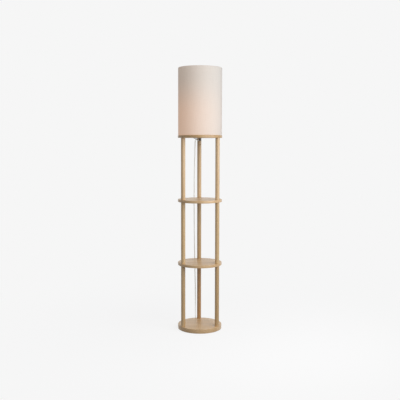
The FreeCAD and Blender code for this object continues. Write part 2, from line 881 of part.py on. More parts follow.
def cord_coil():
    """The put-away length, wound in one layer and out again in the next."""
    quarters = [k / 4 for k in range(4 * coil_turns + 1)]
    first, last = coil_point(0), coil_point(coil_turns)
    ahead = vector(cord_diameter, 0, 0)
    edges = [Part.makeLine(first - ahead, first)]
    for low, high in zip(quarters, quarters[1:]):
        edges += biarc(coil_point(low), coil_direction(low), coil_point(high), coil_direction(high))
    edges.append(Part.makeLine(last, last + ahead))
    path = Part.Wire(Part.__sortEdges__(edges))
    print("cord_coil length", round(path.Length, 1))
    print("cord_coil least gap to itself", round(least_gap(edges), 2))
    return cord_tube("cord_coil", path, first - ahead, ahead)


def least_gap(edges):
    """Smallest clear distance between two stretches that aren't neighbours."""
    points = []
    travelled = 0.0
    for edge in edges:
        count = max(2, int(edge.Length / 1.5))
        for place in edge.discretize(count):
            points.append((travelled + edge.Length * 0.5, place))
        travelled += edge.Length
    smallest = min(
        (one - other).Length
        for here, one in points
        for there, other in points
        if there - here > 12 * cord_diameter
    )
    return smallest - cord_diameter


def coil_tie():
    """Flat tie round the two stacked turns at the coil's far side."""
    middle = coil_point(coil_turns / 4)
    inner_width = cord_diameter + 2 * tie_room
    inner_height = cord_diameter + coil_layer_pitch + 2 * tie_room
    low = coil_lift - tie_room / 3
    corner = vector(middle.x - tie_width / 2, middle.y - inner_width / 2, low)
    wall = vector(0, tie_thickness, tie_thickness)
    outer = Part.makeBox(tie_width, inner_width + 2 * wall.y, inner_height + 2 * wall.z, corner - wall)
    return outer.cut(Part.makeBox(tie_width, inner_width, inner_height, corner))


def at_plug(shape):
    """Place a shape drawn along +X from its origin at the end of the cord."""
    shape.rotate(vector(0, 0, 0), vector(0, 0, 1), plug_heading)
    shape.translate(vector(*tail_route[-1]))
    return shape


def rounded_section(x, width, height):
    """A slot-ended outline across the plug."""
    flat = (width - height) / 2
    radius = height / 2
    right = (vector(x, flat, radius), vector(x, flat + radius, 0), vector(x, flat, -radius))
    left = (vector(x, -flat, -radius), vector(x, -flat - radius, 0), vector(x, -flat, radius))
    return Part.Wire([
        Part.makeLine(left[2], right[0]),
        Part.Arc(*right).toShape(),
        Part.makeLine(right[2], left[0]),
        Part.Arc(*left).toShape(),
    ])


def blade_places():
    return ((-blade_spacing / 2, narrow_blade_width), (blade_spacing / 2, wide_blade_width))


def blade(y, width, length, start, room):
    box = Part.makeBox(length, blade_thickness + 2 * room, width + 2 * room)
    box.translate(vector(start, y - blade_thickness / 2 - room, -width / 2 - room))
    return box


def plug_body():
    """Moulded plug: a tapered relief, then a waisted grip."""
    relief = Part.makeCone(plug_relief_tip / 2, plug_relief_diameter / 2, plug_relief_length)
    relief.rotate(vector(0, 0, 0), vector(0, 1, 0), 90)
    start = plug_relief_length - holder_fit
    grip = Part.makeLoft([
        rounded_section(start, plug_body_width * 0.7, plug_body_height * 0.75),
        rounded_section(start + plug_body_length * 0.3, plug_body_width, plug_body_height),
        rounded_section(start + plug_body_length, plug_nose_width, plug_nose_height),
    ], True, True)
    body = relief.fuse(grip)
    face = start + plug_body_length
    for y, width in blade_places():
        body = body.cut(blade(y, width, blade_root, face - blade_root, plug_fit))
    return at_plug(body)


def plug_blades():
    face = plug_relief_length - holder_fit + plug_body_length
    length = blade_root - plug_fit + blade_length
    start = face - blade_root + plug_fit
    return at_plug(Part.makeCompound([blade(y, width, length, start, 0) for y, width in blade_places()]))


def main():
    os.makedirs("parts", exist_ok=True)
    save("base_disc", base_disc())
    save("lower_shelf", shelf(lower_shelf_bottom))
    save("upper_shelf", shelf(upper_shelf_bottom))
    save("top_disc", top_disc())
    for level, z in (("lower", base_top), ("middle", lower_shelf_top), ("upper", upper_shelf_top)):
        for side, angle in POST_ANGLES.items():
            save("post_" + level + "_" + side, post(angle, z))
    save("post_inserts", post_inserts())
    save("post_studs", post_studs())
    base_seat = foot_height + base_counterbore_depth
    save("base_washers", washers(base_seat - washer_thickness))
    save("base_bolts", bolts(base_seat - washer_thickness, -1, base_top + stud_grip))
    top_seat = top_disc_top - top_counterbore_depth
    save("top_washers", washers(top_seat))
    save("top_bolts", bolts(top_seat + washer_thickness, 1, top_disc_bottom - stud_grip))
    save("foot_pads", foot_pads())

    save("shade_fabric", shade_fabric())
    save("shade_liner", shade_liner())
    save("shade_top_ring", wire_ring(upper_ring_z))
    save("shade_spider", shade_spider())

    save("nipple", nipple())
    save("nipple_washer", nipple_washer())
    save("nipple_nut", nipple_nut())
    save("holder_cap", holder_cap())
    save("holder_shell", holder_shell())
    save("holder_ring_nut", holder_ring_nut())
    save("switch_block", switch_block())
    save("holder_insulator", holder_insulator())
    save("holder_sleeve", holder_sleeve())
    save("screw_shell", screw_shell())
    save("centre_contact", centre_contact())

    save("bulb_tip", bulb_tip())
    save("bulb_cap", bulb_cap())
    save("bulb_body", bulb_body())
    save("bulb_globe", bulb_globe())
    save("led_plate", led_plate())

    save("chain_guide", chain_guide())
    save("chain_eyelet", chain_eyelet())
    save("chain_upper", chain_upper())
    save("chain_swivel", chain_swivel())
    save("chain_tail", chain_tail())
    save("pull_end", pull_end())

    save("cord_outlet", cord_outlet())
    save("cord_clip", cord_clip())
    save("clip_screw", clip_screw())
    save("cord_hang", routed_cord("cord_hang", hanging_route))
    save("cord_coil", cord_coil())
    save("cord_tail", routed_cord("cord_tail", tail_route))
    save("coil_tie", coil_tie())
    save("plug_body", plug_body())
    save("plug_blades", plug_blades())


main()
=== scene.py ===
"""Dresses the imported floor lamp: its wood, cloth, cord and fittings, laid out as a Blender add-on.

Run as a script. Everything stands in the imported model's frame, whose unit is the metre. Lengths here are in
millimetres and are multiplied by MM where they are used, apart from the settings, the camera, the lights and what is
marked as metres.
"""

import math

import bpy
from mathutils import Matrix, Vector


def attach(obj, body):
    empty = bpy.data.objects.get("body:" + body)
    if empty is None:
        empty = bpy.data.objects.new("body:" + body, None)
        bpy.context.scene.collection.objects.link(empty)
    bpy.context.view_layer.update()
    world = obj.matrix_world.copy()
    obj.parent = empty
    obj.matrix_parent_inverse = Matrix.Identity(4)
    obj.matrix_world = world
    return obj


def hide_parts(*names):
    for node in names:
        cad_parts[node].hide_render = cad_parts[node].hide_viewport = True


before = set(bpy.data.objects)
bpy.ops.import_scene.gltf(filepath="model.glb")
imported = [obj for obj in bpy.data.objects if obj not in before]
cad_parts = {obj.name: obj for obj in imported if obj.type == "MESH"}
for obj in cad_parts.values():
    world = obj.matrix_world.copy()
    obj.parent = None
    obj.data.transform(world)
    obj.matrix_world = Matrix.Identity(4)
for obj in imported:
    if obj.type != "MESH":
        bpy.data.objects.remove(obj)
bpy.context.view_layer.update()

bl_info = {
    "name": "Shelf Floor Lamp",
    "version": (1, 0, 0),
    "blender": (4, 5, 0),
    "location": "View3D > Sidebar > Floor Lamp",
    "description": "Models and finishes a round three-post floor lamp with shelves",
    "category": "Add Mesh",
}

MM = 0.001
STAND = "stand"
SMOOTH_ANGLE = 35.0            # edges flatter than this many degrees are shaded smooth
CORD_SMOOTH_ANGLE = 50.0       # the cord's few-sided cores turn more than that from side to side
SAME_PLACE = 1e-6              # vertices nearer than this many metres are merged

# The camera, fitted to the discs' ellipses and the posts: metres and degrees
CAMERA_PLACE = (-0.1365, -3.7225, 1.097)
CAMERA_TURN = (85.0, -0.1, -2.1)

# The wooden stand, from the floor up
DISC_RADIUS = 130.0
DISC_EDGE = 1.5                # rounding of the discs' rims
POST_RADIUS = 12.5
POST_CHAMFER = 0.6
POST_CIRCLE = 115.0            # from the lamp's axis to a post's
POST_ANGLES = {"back": 90.0, "left": 210.0, "right": 330.0}
BASE_LOW, BASE_HIGH = 1.5, 26.5
BAY_HEIGHT = 360.0
SHELF_THICKNESS = 15.0
LOWER_SHELF = BASE_HIGH + BAY_HEIGHT
UPPER_SHELF = LOWER_SHELF + SHELF_THICKNESS + BAY_HEIGHT
TOP_DISC = UPPER_SHELF + SHELF_THICKNESS + BAY_HEIGHT
TOP_DISC_HIGH = TOP_DISC + SHELF_THICKNESS
BAY_FLOORS = {"lower": BASE_HIGH, "middle": LOWER_SHELF + SHELF_THICKNESS, "upper": UPPER_SHELF + SHELF_THICKNESS}
STUD_BORE = 3.3                # radius of the bores for the studs and bolts
BOLT_RECESS = 7.5              # radius of the recess for a bolt's head and washer
INSERT_BORE = 5.05             # radius and depth of the bore in a post's end
INSERT_DEPTH = 12.0
NIPPLE_BORE = 5.05
EYELET_BORE = 3.95
FOOT_CIRCLE = 104.0
FOOT_ANGLES = (30.0, 150.0, 270.0)

# Tones of the wood: red, green and blue against the mean of all boards. They paint shade by place: the posts darken
# from the upper bay down, the back posts most, and the top disc is darker too; the base and the shelves take the light
# tone, partly painted light.
TONES_WITH_SHADE = {
    "light": (1.03, 1.05, 1.17),
    "mean": (0.98, 1.01, 1.06),
    "deep": (0.86, 0.85, 0.85),
    "red": (0.8, 0.67, 0.59),
}
# painted shade: the posts are darker from the upper bay down, and the back posts darker still
SIDE_POST_TONE_AND_SHADE = {"lower": "deep", "middle": "mean", "upper": "light"}
BACK_POST_TONE_AND_SHADE = {"lower": "red", "middle": "deep", "upper": "light"}

# The drum shade: its rims turn in round two wire rings
RIM_CENTRE = 125.25            # radius of the circle that a rim's fold is centred on
LOWER_RIM, UPPER_RIM = 1154.45, 1538.95
RIM_LIP = 8.0                  # cloth turned in past each ring
DRUM_RADIUS = 128.0
LINER_INSIDE, LINER_OUTSIDE = 126.9, 127.3
RING_RADIUS, RING_WIRE = 125.2, 1.5
ARM_WIRE = 1.8                 # radius of an arm's wire
SEAM_WIDTH = 12.0
ARM_ANGLES = (270.0, 30.0, 150.0)
FITTER_LOW, FITTER_HIGH = 1184.6, 1186.1

# The holder's chain port and the bulb, in heights above the floor
CHAIN_PORT = 1170.5
CAP_LOW = 1188.4
HOUSING_LOW, HOUSING_HIGH = 1211.5, 1256.4
GLOBE_LOW = 1256.5
GLOBE_RADIUS, GLOBE_INSIDE = 30.0, 28.6
THREAD_PITCH = 3.6
BULB_LEVEL, SHADE_HEAD = 1.26, 1.5    # metres: the glow in the shade changes its colour between these heights

# The pull chain hangs in front of the lamp's axis
CHAIN_REACH = 24.0
SWIVEL_HEIGHT = 1132.5         # the bead that the hanging end swings on
BEAD_RADIUS = 1.6
BEAD_PITCH = 4.2
LINK_RADIUS = 0.45

# The cord's route is the one its solids follow: out of the outlet, through the clip, over the disc's rim, down behind
# the lamp and round behind the base. Near the floor it runs lower than they do, because the flat cord is thinner.
CORD_HEADING = 10.3            # degrees from straight back, at which the cord leaves the outlet
HANGING_ROUTE = [
    (-3.22, 17.71, 1123.5), (-6.79, 37.39, 1123.5), (-10.4, 57.5, 1121.0), (-14.1, 77.8, 1124.2),
    (-17.7, 97.5, 1131.0), (-21.0, 115.6, 1131.3), (-23.6, 130.1, 1122.8), (-25.1, 138.5, 1108.1),
    (-25.9, 138.9, 1074.0), (-27.6, 138.7, 1012.0), (-30.0, 138.2, 905.0), (-30.6, 137.8, 745.0),
    (-29.6, 137.6, 565.0), (-26.8, 137.4, 395.0), (-23.4, 137.2, 255.0), (-22.2, 137.0, 150.0),
    (-22.6, 136.5, 98.0), (-22.7, 135.9, 60.0), (-22.4, 135.3, 26.8), (-13.9, 135.0, 12.05),
    (0.8, 135.0, 2.4), (14.4, 135.0, 2.0),
]
TAIL_ROUTE = [(25.6, 135.0, 5.0), (35.6, 135.0, 5.8), (45.0, 133.3, 7.05), (54.4, 129.88, 7.05)]
PLUG_HEADING = -20.0
COIL_CENTRE = (20.0, 166.1)
COIL_RADIUS = 31.1
COIL_TURNS = 2
COIL_PITCH = 6.2
COIL_POINTS = 16               # points of the cord's own line in one turn
COIL_LOW = 2.0                 # centre of the lower layer above the floor
COIL_LIFT = 2.95               # from there to the upper layer: the flat cord lies on itself
TWIST_START, TWIST_END = 1050.0, 1190.0    # along the cord: it turns a quarter here, behind the lowest bay


# ---------------------------------------------------------------- settings a user would change


class LampWoodSettings(bpy.types.PropertyGroup):
    """Colours, grain and lacquer of the discs and posts"""
    pale: bpy.props.StringProperty(name="Pale wood", description="Colour between the growth lines", default="#dcc197")
    mid: bpy.props.StringProperty(name="Mid wood", description="Main colour of the wood", default="#cdab7a")
    dark: bpy.props.StringProperty(name="Dark line", description="Colour of the late growth lines", default="#a98454")
    ring_width: bpy.props.FloatProperty(
        name="Growth ring", description="Width of one growth ring", default=0.0042, unit="LENGTH")
    strip_width: bpy.props.FloatProperty(
        name="Strip", description="Width of one glued strip in a shelf", default=0.043, unit="LENGTH")
    gloss: bpy.props.FloatProperty(
        name="Lacquer", description="How strongly the lacquer shines", default=0.26, subtype="FACTOR")


class LampShadeSettings(bpy.types.PropertyGroup):
    """Cloth of the shade and the light in it"""
    cloth: bpy.props.StringProperty(name="Cloth", description="Colour of the shade's cloth", default="#c8c6c2")
    # the glow is painted light: emission in the shade's cloth
    glow: bpy.props.StringProperty(name="Glow", description="Colour of the light in the cloth", default="#ffc79b")
    glow_strength: bpy.props.FloatProperty(
        name="Glow strength", description="How strongly the lit bulb shows through the cloth", default=0.39)
    thread: bpy.props.FloatProperty(
        name="Thread spacing", description="Distance between two threads of the cloth", default=0.0009, unit="LENGTH")


class LampCordSettings(bpy.types.PropertyGroup):
    """Section and strands of the cord"""
    width: bpy.props.FloatProperty(
        name="Cord width", description="Width of the flat twin cord", default=0.0056, unit="LENGTH")
    thickness: bpy.props.FloatProperty(
        name="Cord thickness", description="Thickness of the flat twin cord", default=0.0028, unit="LENGTH")
    silver: bpy.props.StringProperty(name="Strands", description="Colour of the strands", default="#f4f5f1")


class LampStageSettings(bpy.types.PropertyGroup):
    """Background, lights and lens"""
    background: bpy.props.StringProperty(name="Background", description="Colour of the studio", default="#f6f6f6")
    key_power: bpy.props.FloatProperty(
        name="Key light", description="Power of the main lamp", default=26.8, unit="POWER")
    fill: bpy.props.FloatProperty(name="Fill", description="Strength of the light all round", default=0.48)
    lens: bpy.props.FloatProperty(name="Lens", description="Focal length of the camera", default=56.9)


# ---------------------------------------------------------------- shaping tools


def clear_selection():
    """Leave edit mode and deselect everything."""
    if bpy.context.mode != "OBJECT":
        bpy.ops.object.mode_set(mode="OBJECT")
    bpy.ops.object.select_all(action="DESELECT")


def take_up(piece):
    """Select one piece alone and make it the active one."""
    clear_selection()
    piece.select_set(True)
    bpy.context.view_layer.objects.active = piece
    return piece


def apply_place():
    """Put the active piece's place, turn and scale in its mesh."""
    bpy.ops.object.transform_apply(location=True, rotation=True, scale=True)


def smooth_round(angle=SMOOTH_ANGLE):
    """Shade the active piece's round faces smooth and keep its edges hard."""
    bpy.ops.object.shade_smooth_by_angle(angle=math.radians(angle))


def named(piece, name):
    """Give a piece and its mesh one name."""
    piece.name = piece.data.name = name
    return piece


def around(radius, degrees, z):
    """A point at a radius in mm and an angle round the lamp's axis, in metres."""
    turn = math.radians(degrees)
    return Vector((radius * math.cos(turn), radius * math.sin(turn), z)) * MM


def spot_around(radius, degrees):
    """The (x, y) in mm of a point at a radius in mm and an angle round the lamp's axis."""
    place = around(radius, degrees, 0) / MM
    return place.x, place.y


def arc(centre, radius, start, end, steps):
    """Points of an arc in a turned outline, from one angle in degrees to another."""
    points = []
    for k in range(steps + 1):
        turn = math.radians(start + (end - start) * k / steps)
        points.append((centre[0] + radius * math.cos(turn), centre[1] + radius * math.sin(turn)))
    return points


def start_outline(name, place):
    """One vertex at a place, in edit mode, ready to be drawn out."""
    clear_selection()
    bpy.ops.mesh.primitive_plane_add(size=MM)
    piece = named(bpy.context.object, name)
    bpy.ops.object.mode_set(mode="EDIT")
    bpy.ops.mesh.select_all(action="SELECT")
    bpy.ops.mesh.merge(type="CENTER")
    bpy.ops.transform.translate(value=place)
    return piece


def draw_outline(points):
    """Extrude the selected vertex from point to point; points are in metres."""
    for here, there in zip(points, points[1:]):
        bpy.ops.mesh.extrude_region_move(TRANSFORM_OT_translate={"value": there - here})


def close_up(angle=SMOOTH_ANGLE):
    """Merge doubles, point the faces outwards, leave edit mode and smooth what is round."""
    bpy.ops.mesh.select_all(action="SELECT")
    bpy.ops.mesh.remove_doubles(threshold=SAME_PLACE)
    bpy.ops.mesh.normals_make_consistent(inside=False)
    bpy.ops.object.mode_set(mode="OBJECT")
    smooth_round(angle)


def turned(name, outline, centre=(0.0, 0.0), steps=64):
    """A turned piece: an outline of (radius, height) in mm is drawn and spun round an upright axis.

    An outline that starts and ends on the axis is left open there; any other is closed.
    """
    axis = Vector((centre[0], centre[1], 0)) * MM
    points = [axis + Vector((radius, 0, z)) * MM for radius, z in outline]
    if outline[0][0] > 0 or outline[-1][0] > 0:
        points.append(points[0])
    piece = start_outline(name, points[0])
    draw_outline(points)
    bpy.ops.mesh.select_all(action="SELECT")
    bpy.ops.mesh.spin(steps=steps, angle=math.tau, center=axis, axis=(0, 0, 1))
    close_up()
    return piece


def soften(piece, width):
    """Round the hard edges of a piece by a width in mm."""
    take_up(piece)
    rounding = piece.modifiers.new("rounding", "BEVEL")
    rounding.width = width * MM
    rounding.segments = 2
    rounding.limit_method = "ANGLE"
    rounding.angle_limit = math.radians(30)
    rounding.use_clamp_overlap = True
    bpy.ops.object.modifier_apply(modifier=rounding.name)
    smooth_round()
    return piece


def settle(piece, place=(0, 0, 0), heading=0.0):
    """Turn and move a piece that was drawn at the origin, and put its place in its mesh."""
    take_up(piece)
    piece.rotation_euler = (0, 0, math.radians(heading))
    piece.location = Vector(place) * MM
    apply_place()
    return piece


def cutter(radius, low, high, x, y):
    """A round cutter in mm, for a bore or counterbore."""
    clear_selection()
    bpy.ops.mesh.primitive_cylinder_add(
        vertices=32, radius=radius * MM, depth=(high - low) * MM, location=(x * MM, y * MM, (low + high) / 2 * MM))
    return bpy.context.object


def block(low, high):
    """A square-edged block between two corners in mm."""
    low, high = Vector(low) * MM, Vector(high) * MM
    clear_selection()
    bpy.ops.mesh.primitive_cube_add(size=1, location=(low + high) / 2, scale=high - low)
    apply_place()
    return bpy.context.object


def combine(piece, others, how):
    """Cut other pieces out of a piece, or join them to it as one body, and take them away."""
    for other in others:
        take_up(piece)
        step = piece.modifiers.new("combine", "BOOLEAN")
        step.operation = how
        step.solver = "EXACT"
        step.object = other
        bpy.ops.object.modifier_apply(modifier=step.name)
        bpy.data.objects.remove(other)
    take_up(piece)
    smooth_round()
    return piece


def gathered(name, parts):
    """Join loose parts into one named object."""
    clear_selection()
    for part in parts:
        part.select_set(True)
    bpy.context.view_layer.objects.active = parts[0]
    bpy.ops.object.join()
    return named(bpy.context.object, name)


def rod(name, start, end, radius, sides=16):
    """A round rod between two points in metres."""
    start, end = Vector(start), Vector(end)
    run = end - start
    clear_selection()
    bpy.ops.mesh.primitive_cylinder_add(
        vertices=sides, radius=radius * MM, depth=run.length, location=(start + end) / 2,
        rotation=run.to_track_quat("Z", "Y").to_euler())
    piece = named(bpy.context.object, name)
    apply_place()
    smooth_round()
    return piece


def drawn_out(name, sections):
    """A moulded piece along +X: an oval of each (distance, width, height) in mm, drawn out one after another."""
    first = sections[0]
    clear_selection()
    bpy.ops.mesh.primitive_circle_add(
        vertices=32, radius=0.5 * MM, fill_type="NGON", location=(first[0] * MM, 0, 0), rotation=(0, math.pi / 2, 0))
    apply_place()
    piece = named(bpy.context.object, name)
    bpy.ops.object.mode_set(mode="EDIT")
    bpy.ops.mesh.select_all(action="SELECT")
    bpy.ops.transform.resize(value=(1, first[1], first[2]), center_override=(first[0] * MM, 0, 0))
    for before, after in zip(sections, sections[1:]):
        bpy.ops.mesh.extrude_region_move(TRANSFORM_OT_translate={"value": ((after[0] - before[0]) * MM, 0, 0)})
        bpy.ops.transform.resize(
            value=(1, after[1] / before[1], after[2] / before[2]), center_override=(after[0] * MM, 0, 0))
    close_up()
    return piece


def bent_strip(name, outline, width):
    """A strip of plate: its outline in mm, in the XZ plane, is filled and drawn out along Y, centred on it."""
    points = [Vector((x, -width / 2, z)) * MM for x, z in outline]
    points.append(points[0])
    piece = start_outline(name, points[0])
    draw_outline(points)
    bpy.ops.mesh.select_all(action="SELECT")
    bpy.ops.mesh.remove_doubles(threshold=SAME_PLACE)
    bpy.ops.mesh.edge_face_add()
    bpy.ops.mesh.extrude_region_move(TRANSFORM_OT_translate={"value": (0, width * MM, 0)})
    close_up()
    return piece


def paint(piece, slot, finish=None):
    """Give a piece the finish of its slot, or a variant of it."""
    piece.data.materials.clear()
    piece.data.materials.append(FINISHES[finish or slot])


def fit(piece, slot, *nodes, body=STAND, finish=None):
    """Finish a piece and let it ride on its body and stand for its solids."""
    paint(piece, slot, finish)
    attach(piece, body)
    if nodes:
        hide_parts(*nodes)
    return piece


def shift_grain(piece, number, tone_and_shade):
    """Store where in the tree this piece was cut from, so that no two show the same grain, and its tone, with the shade
    and light painted in it for the piece's place.
    """
    place = (0.11 * math.sin(2.4 * number), 0.13 * math.cos(1.7 * number), 0.9 * number)
    for name, value in (("grain_shift", place), ("tone_with_shade", TONES_WITH_SHADE[tone_and_shade])):
        layer = piece.data.attributes.new(name, "FLOAT_VECTOR", "POINT")
        for entry in layer.data:
            entry.vector = value
    return piece


# ---------------------------------------------------------------- finishes


def linear(hex_colour):
    """An sRGB hex colour as the linear colour that a socket takes."""
    channels = []
    for k in (1, 3, 5):
        value = int(hex_colour[k:k + 2], 16) / 255
        channels.append(value / 12.92 if value <= 0.04045 else ((value + 0.055) / 1.055) ** 2.4)
    return (*channels, 1.0)


def feed(node, inputs):
    """Fill or link a node's inputs: each is given as a constant, as an output, or as a node, for its first output."""
    for name, value in inputs.items():
        if isinstance(value, bpy.types.Node):
            value = value.outputs[0]
        if isinstance(value, bpy.types.NodeSocket):
            node.id_data.links.new(value, node.inputs[name])
        else:
            node.inputs[name].default_value = value


def add_node(tree, kind, inputs=None, stops=None, **settings):
    """Add one shader node with its settings, a ramp's stops and what feeds it.

    Of the numbered inputs, Map Range has the range that it takes at 1 and 2 and the one that it gives at 3 and 4, and
    Mix has its factor at 0 and its two colours at 6 and 7.
    """
    made = tree.nodes.new("ShaderNode" + kind)
    for name, value in settings.items():
        setattr(made, name, value)
    if stops:
        ramp = made.color_ramp
        while len(ramp.elements) < len(stops):
            ramp.elements.new(0.5)
        for entry, (place, colour) in zip(ramp.elements, stops):
            entry.position = place
            entry.color = linear(colour)
    feed(made, inputs or {})
    return made


def new_finish(name, **surface):
    """A material whose constants stand on its surface shader's own sockets; underscores in names are spaces."""
    material = bpy.data.materials.new(name)
    material.use_nodes = True
    shader = material.node_tree.nodes["Principled BSDF"]
    feed(shader, {socket.replace("_", " "): value for socket, value in surface.items()})
    return material, material.node_tree, shader


def wood_finish(name, flat):
    """Ash or rubberwood, sanded and sprayed with satin lacquer: fine straight grain with short open pores.

    The posts' grain runs up; a shelf's runs across, in edge-glued strips (flat=True).
    """
    wood = bpy.context.scene.lamp_wood
    material, tree, shader = new_finish(name, Coat_Weight=wood.gloss, Coat_Roughness=0.22, IOR=1.5)
    place = add_node(tree, "TexCoord").outputs["Object"]
    cut = add_node(tree, "Attribute", attribute_name="grain_shift").outputs["Vector"]
    if flat:
        # strips are counted across the grain and each is taken from another place in the tree
        sides = add_node(tree, "SeparateXYZ", {0: place})
        count = add_node(tree, "Math", {0: sides.outputs["Y"], 1: 1 / wood.strip_width}, operation="MULTIPLY")
        strip = add_node(tree, "Math", {0: count}, operation="FLOOR")
        chance = add_node(tree, "TexWhiteNoise", {"W": strip}, noise_dimensions="1D")
        cut = add_node(tree, "VectorMath", {0: chance.outputs["Color"], 1: cut}, operation="ADD")
        along = add_node(tree, "Mapping", {"Vector": place, "Rotation": (0, math.pi / 2, 0)})
    else:
        along = place
    spot = add_node(tree, "VectorMath", {0: along, 1: cut}, operation="ADD")
    # growth rings seen along the grain as long soft lines
    stretched = add_node(tree, "Mapping", {"Vector": spot, "Scale": (1, 1, 0.05 if flat else 0.14)})
    rings = add_node(
        tree, "TexWave",
        {"Vector": stretched, "Scale": math.tau / (20 * wood.ring_width), "Distortion": 3.2, "Detail": 2.0,
         "Detail Scale": 0.35, "Detail Roughness": 0.55},
        wave_type="RINGS", rings_direction="Z", wave_profile="SAW")
    # fibres about 0.9 mm across, drawn coarser than the real 0.3 mm so that they show
    fibre_place = add_node(tree, "Mapping", {"Vector": spot, "Scale": (1100, 1100, 26)})
    fibres = add_node(tree, "TexNoise", {"Vector": fibre_place, "Scale": 1.0, "Detail": 3.0, "Roughness": 0.6})
    # open pores: dark dashes 0.5 mm across and about 8 mm long
    pore_place = add_node(tree, "Mapping", {"Vector": spot, "Scale": (1900, 1900, 120)})
    pores = add_node(tree, "TexNoise", {"Vector": pore_place, "Scale": 1.0, "Detail": 1.0})
    dashes = add_node(tree, "MapRange", {0: pores.outputs["Fac"], 1: 0.66, 2: 0.74})
    # slow change of tone along the board
    cloud_place = add_node(tree, "Mapping", {"Vector": spot, "Scale": (22, 22, 2.6)})
    cloud = add_node(tree, "TexNoise", {"Vector": cloud_place, "Scale": 1.0, "Detail": 2.0})
    # a post is cut along its rings, so they show more weakly there
    ring_part = add_node(tree, "Math", {0: rings.outputs["Fac"], 1: 0.42 if flat else 0.22}, operation="MULTIPLY")
    fibre_part = add_node(tree, "Math", {0: fibres.outputs["Fac"], 1: 0.45, 2: ring_part}, operation="MULTIPLY_ADD")
    tone = add_node(tree, "Math", {0: cloud.outputs["Fac"], 1: 0.55, 2: fibre_part}, operation="MULTIPLY_ADD")
    colour = add_node(tree, "ValToRGB", {"Fac": tone}, stops=[(0.3, wood.pale), (0.62, wood.mid), (0.98, wood.dark)])
    shown = add_node(tree, "Mix", {0: dashes, 6: colour, 7: linear("#957850")}, data_type="RGBA", clamp_factor=True)
    body = shown.outputs[2]
    if flat:
        # each strip's tone differs at random, and the whole range is lighter than the posts: partly the wood's tone,
        # partly painted light on the discs
        strip_tone = add_node(tree, "MapRange", {0: chance.outputs["Value"], 3: 1.08, 4: 1.24})
        body = add_node(tree, "HueSaturation", {"Value": strip_tone, "Color": body})
    # each board's tone, with the shade and light painted in it for the board's place
    tone_and_shade = add_node(tree, "Attribute", attribute_name="tone_with_shade").outputs["Color"]
    toned_and_shaded_wood = add_node(tree, "Mix", {0: 1.0, 6: body, 7: tone_and_shade}, data_type="RGBA", blend_type="MULTIPLY")
    rough = add_node(tree, "MapRange", {0: fibres.outputs["Fac"], 3: 0.34, 4: 0.46})
    depth = add_node(tree, "Math", {0: dashes, 1: -1.0, 2: fibres.outputs["Fac"]}, operation="MULTIPLY_ADD")
    relief = add_node(tree, "Bump", {"Height": depth, "Strength": 0.25, "Distance": 0.00012})
    feed(shader, {"Base Color": toned_and_shaded_wood.outputs[2], "Roughness": rough, "Normal": relief})
    return material


def cloth_place(tree, radius):
    """Metres round and up the drum from object coordinates; the jump is at the back, where the seam is."""
    sides = add_node(tree, "SeparateXYZ", {0: add_node(tree, "TexCoord").outputs["Object"]})
    behind = add_node(tree, "Math", {0: sides.outputs["Y"], 1: -1.0}, operation="MULTIPLY")
    turn = add_node(tree, "Math", {0: sides.outputs["X"], 1: behind}, operation="ARCTAN2")
    run = add_node(tree, "Math", {0: turn, 1: radius}, operation="MULTIPLY")
    return add_node(tree, "CombineXYZ", {0: run, 1: sides.outputs["Z"]})


def painted_glow_colour(tree, centre, reach, low, high):
    """Painted light of the lit bulb in the shade's wall: emission that fades over a reach from a centre, and changes
    colour upwards.
    """
    sides = add_node(tree, "SeparateXYZ", {0: add_node(tree, "TexCoord").outputs["Object"]})
    level = add_node(tree, "CombineXYZ", {0: sides.outputs["X"], 1: sides.outputs["Y"]})
    away = add_node(tree, "VectorMath", {0: level, 1: centre}, operation="DISTANCE")
    near = add_node(
        tree, "MapRange", {0: away.outputs["Value"], 1: reach[0], 2: reach[1], 3: 1.0, 4: 0.0},
        interpolation_type="SMOOTHSTEP")
    height = add_node(
        tree, "MapRange", {0: sides.outputs["Z"], 1: BULB_LEVEL, 2: SHADE_HEAD}, interpolation_type="SMOOTHSTEP")
    colour = add_node(tree, "Mix", {0: height, 6: linear(low), 7: linear(high)}, data_type="RGBA")
    return add_node(tree, "Mix", {0: near, 6: (0, 0, 0, 1), 7: colour.outputs[2]}, data_type="RGBA").outputs[2]


